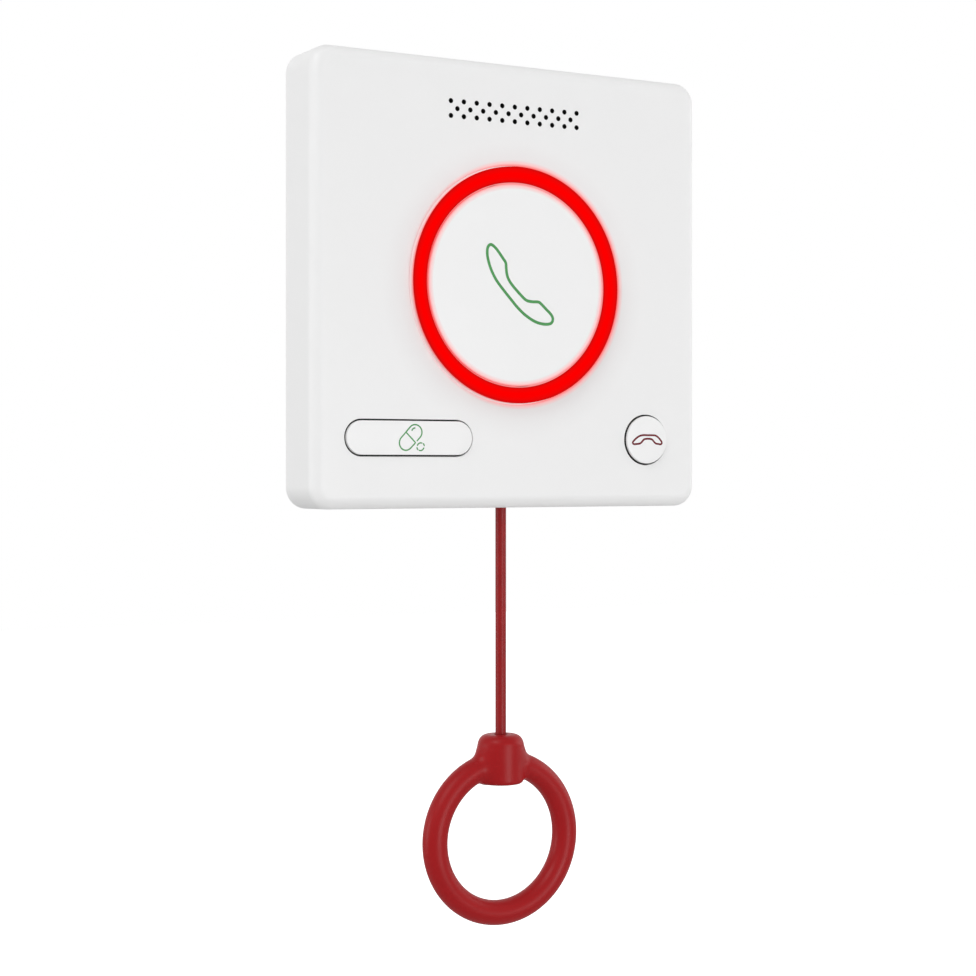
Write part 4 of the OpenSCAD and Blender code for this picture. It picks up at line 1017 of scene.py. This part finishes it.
def make_pictograms():
    green = lit_print("print_green", (0.075, 0.29, 0.09), 0.05)
    red = lit_print("print_red", (0.15, 0.012, 0.02), 0.02)
    hangup = [(x + HANGUP_SHIFT, z) for x, z in smooth_line(HANGUP, 3)]
    handset = smooth_line(HANDSET)
    make_print("handset_print", CALL_CAP, "call_button", green, [(handset, True, HANDSET_W)])
    pills = [(line, closed, CAPSULE_W) for line, closed in capsule_lines()]
    pills += [(line, closed, ARROWS_W) for line, closed in arrow_lines()]
    make_print("capsule_print", PILL_CAP, "pill_button", green, pills)
    make_print("hangup_print", HANGUP_CAP, "hangup_button", red, [(hangup, True, HANGUP_W)])


# Pull ring
def smooth_min(a, b, blend):
    """Least of two distances, with a round blend."""
    h = np.clip(blend - np.abs(a - b), 0, None) / blend
    return np.minimum(a, b) - h * h * blend / 4


def finger_ring_distance(p):
    """Distance in millimetres from points (x, y, z) to the ring's surface, below zero inside."""
    x, y, z = p[:, 0], p[:, 1] + CORD_LEVEL, p[:, 2]
    tube = np.hypot(np.hypot(x, z - FINGER_Z) - FINGER_R, y) - TUBE_R
    wide = np.hypot(x, y)
    half = (HUB_TOP - HUB_BOTTOM) / 2
    above = z - (HUB_TOP + HUB_BOTTOM) / 2
    edge = np.where(above > 0, HUB_ROUND, HUB_LOW_ROUND)
    out = np.clip(wide - HUB_R + edge, 0, None)
    up = np.clip(np.abs(above) - half + edge, 0, None)
    inside = np.minimum(np.maximum(wide - HUB_R + edge, np.abs(above) - half + edge), 0)
    hub = np.hypot(out, up) + inside - edge
    low, high = SHOULDER_BLEND
    blend = low + (high - low) * np.clip((z - FINGER_Z - FINGER_R) / SHOULDER_H, 0, 1)
    body = smooth_min(tube, hub, blend)
    pocket = np.maximum(wide - POCKET_R, z - POCKET_TOP)
    hole = np.maximum(np.minimum(wide - CORD_HOLE_R, pocket), FINGER_Z - z)
    return -smooth_min(-body, hole, MOUTH_ROUND)


def remesh(obj, size):
    modifier = obj.modifiers.new("remesh", "REMESH")
    modifier.mode = "VOXEL"
    modifier.voxel_size = size * MM
    applied = bpy.data.meshes.new_from_object(obj.evaluated_get(bpy.context.evaluated_depsgraph_get()))
    obj.modifiers.clear()
    obj.data = applied


def make_finger_ring(material):
    """The CAD ring's shape, remeshed, and drawn onto one smooth surface with blended shoulders."""
    source = frame["nodes"]["pull_ring"]
    obj = bpy.data.objects.new("finger_ring", source.data.copy())
    bpy.context.scene.collection.objects.link(obj)
    remesh(obj, FINGER_MESH)
    mesh = obj.data
    points = np.empty(len(mesh.vertices) * 3)
    mesh.vertices.foreach_get("co", points)
    points = points.reshape(-1, 3) / MM
    step = 0.01
    for _ in range(FINGER_PASSES):
        here = finger_ring_distance(points)
        slope = np.stack([
            finger_ring_distance(points + step * axis) - finger_ring_distance(points - step * axis)
            for axis in np.eye(3)], axis=1) / (2 * step)
        slope /= np.maximum(np.linalg.norm(slope, axis=1, keepdims=True), 1e-6)
        points -= slope * np.clip(here, -FINGER_REACH, FINGER_REACH)[:, None]
    mesh.vertices.foreach_set("co", (points * MM).ravel())
    mesh.polygons.foreach_set("use_smooth", [True] * len(mesh.polygons))
    mesh.normals_split_custom_set_from_vertices(slope.tolist())
    mesh.materials.clear()
    mesh.materials.append(material)
    return place_piece(obj, "pull_ring", "ring_red", "pull_ring")


# Cord
def make_cord(material):
    data = bpy.data.curves.new("cord", "CURVE")
    data.dimensions = "3D"
    data.bevel_depth = CORD_D / 2 * MM
    data.bevel_resolution = 7
    spline = data.splines.new("POLY")
    spline.points.add(len(CORD_ROUTE) - 1)
    for point, place in zip(spline.points, CORD_ROUTE):
        point.co = (*(c * MM for c in place), 1)
    data.materials.append(material)
    obj = bpy.data.objects.new("cord", data)
    bpy.context.scene.collection.objects.link(obj)
    place_piece(obj, "cord", "cord_red", "pull_cord")


# Light and surroundings
AMBIENT = 0.5


def make_world():
    """White where it is seen, also in mirrors and through glass, and dimmer as a light."""
    world = bpy.data.worlds.new("studio")
    bpy.context.scene.world = world
    world.use_nodes = True
    tree = world.node_tree
    tree.nodes.clear()
    path = add(tree, "ShaderNodeLightPath")
    seen = path.outputs["Is Camera Ray"]
    for ray in ("Is Glossy Ray", "Is Transmission Ray"):
        either = add(tree, "ShaderNodeMath", operation="MAXIMUM")
        tree.links.new(seen, either.inputs[0])
        tree.links.new(path.outputs[ray], either.inputs[1])
        seen = either.outputs[0]
    both = add(tree, "ShaderNodeMixShader")
    tree.links.new(seen, both.inputs["Fac"])
    for socket, strength in ((both.inputs[1], AMBIENT), (both.inputs[2], 1.0)):
        white = add(tree, "ShaderNodeBackground")
        white.inputs["Color"].default_value = (1, 1, 1, 1)
        white.inputs["Strength"].default_value = strength
        tree.links.new(white.outputs[0], socket)
    output = add(tree, "ShaderNodeOutputWorld")
    tree.links.new(both.outputs[0], output.inputs["Surface"])


# Each lamp's place and target in metres, its size and its power
LAMPS = {
    "top_left": ((-0.9, -0.5, 0.9), (0, 0, 0), 0.6, 5.8),
    "back_left": ((-1.25, 0.4, -0.05), (0, 0, -0.03), 0.6, 3.5),
    "right_side": ((1.3, -0.25, 0.2), (0, 0, -0.03), 0.8, 3.1),
    "front_low": ((0.25, -1.3, -0.3), (0, 0, -0.03), 0.6, 8.0),
}


def make_lamps():
    for name, (place, target, size, power) in LAMPS.items():
        data = bpy.data.lights.new(name, "AREA")
        data.size = size
        data.energy = power
        lamp = bpy.data.objects.new(name, data)
        lamp.location = place
        lamp.rotation_mode = "QUATERNION"
        lamp.rotation_quaternion = (Vector(target) - Vector(place)).to_track_quat("-Z", "Y")
        bpy.context.scene.collection.objects.link(lamp)


# Floor: its height and side in metres, the distances in millimetres between which it turns white
FLOOR_Z = -0.42
FLOOR_SIDE = 8
FLOOR_NEAR = 350
FLOOR_FAR = 850
FLOOR_GREY = 0.76


def make_floor():
    """Pale floor that keeps the object's shadow, and is white further off in the camera's view."""
    material, tree, shader = new_material("floor", grey(FLOOR_GREY), 0.9, specular=0.0)
    speckle = mix_color(tree, noise(tree, 40.0), grey(FLOOR_GREY - 0.01), grey(FLOOR_GREY + 0.01))
    tree.links.new(speckle, shader.inputs["Base Color"])
    far = from_axis(tree, across="XY")
    path = add(tree, "ShaderNodeLightPath")
    light = add(tree, "ShaderNodeMath", operation="MULTIPLY")
    tree.links.new(spread(tree, far, 0.5, 1.0, FLOOR_NEAR, FLOOR_FAR), light.inputs[0])
    tree.links.new(path.outputs["Is Camera Ray"], light.inputs[1])
    shader.inputs["Emission Color"].default_value = (1, 1, 1, 1)
    tree.links.new(light.outputs[0], shader.inputs["Emission Strength"])
    bpy.ops.mesh.primitive_plane_add(size=FLOOR_SIDE, location=(0, 0, FLOOR_Z))
    floor = bpy.context.object
    floor.name = "floor"
    floor.data.materials.append(material)


make_camera()
materials = dress_nodes()
make_cord(materials["cord_red"])
make_cover(materials["cover_white"])
make_light_ring(materials["ring_light_red"])
make_caps(materials["button_white"])
# Painted shade: dark sleeves in the gaps round the small caps
make_shade_sleeve("pill_shade_sleeve", PILL_CAP, "pill_button", PILL_SHADE_SLEEVE_TOP, materials["rubber_black"])
make_shade_sleeve("hangup_shade_sleeve", HANGUP_CAP, "hangup_button", HANGUP_SHADE_SLEEVE_TOP, materials["rubber_black"])
# Painted shade: dark lining in the grille holes
make_grille_shade_lining(materials["mesh_black"])
make_solder_joints(materials["can_metal"])
make_pictograms()
make_finger_ring(materials["ring_red"])
make_world()
make_lamps()
make_floor()
bpy.context.scene.view_settings.view_transform = "Standard"
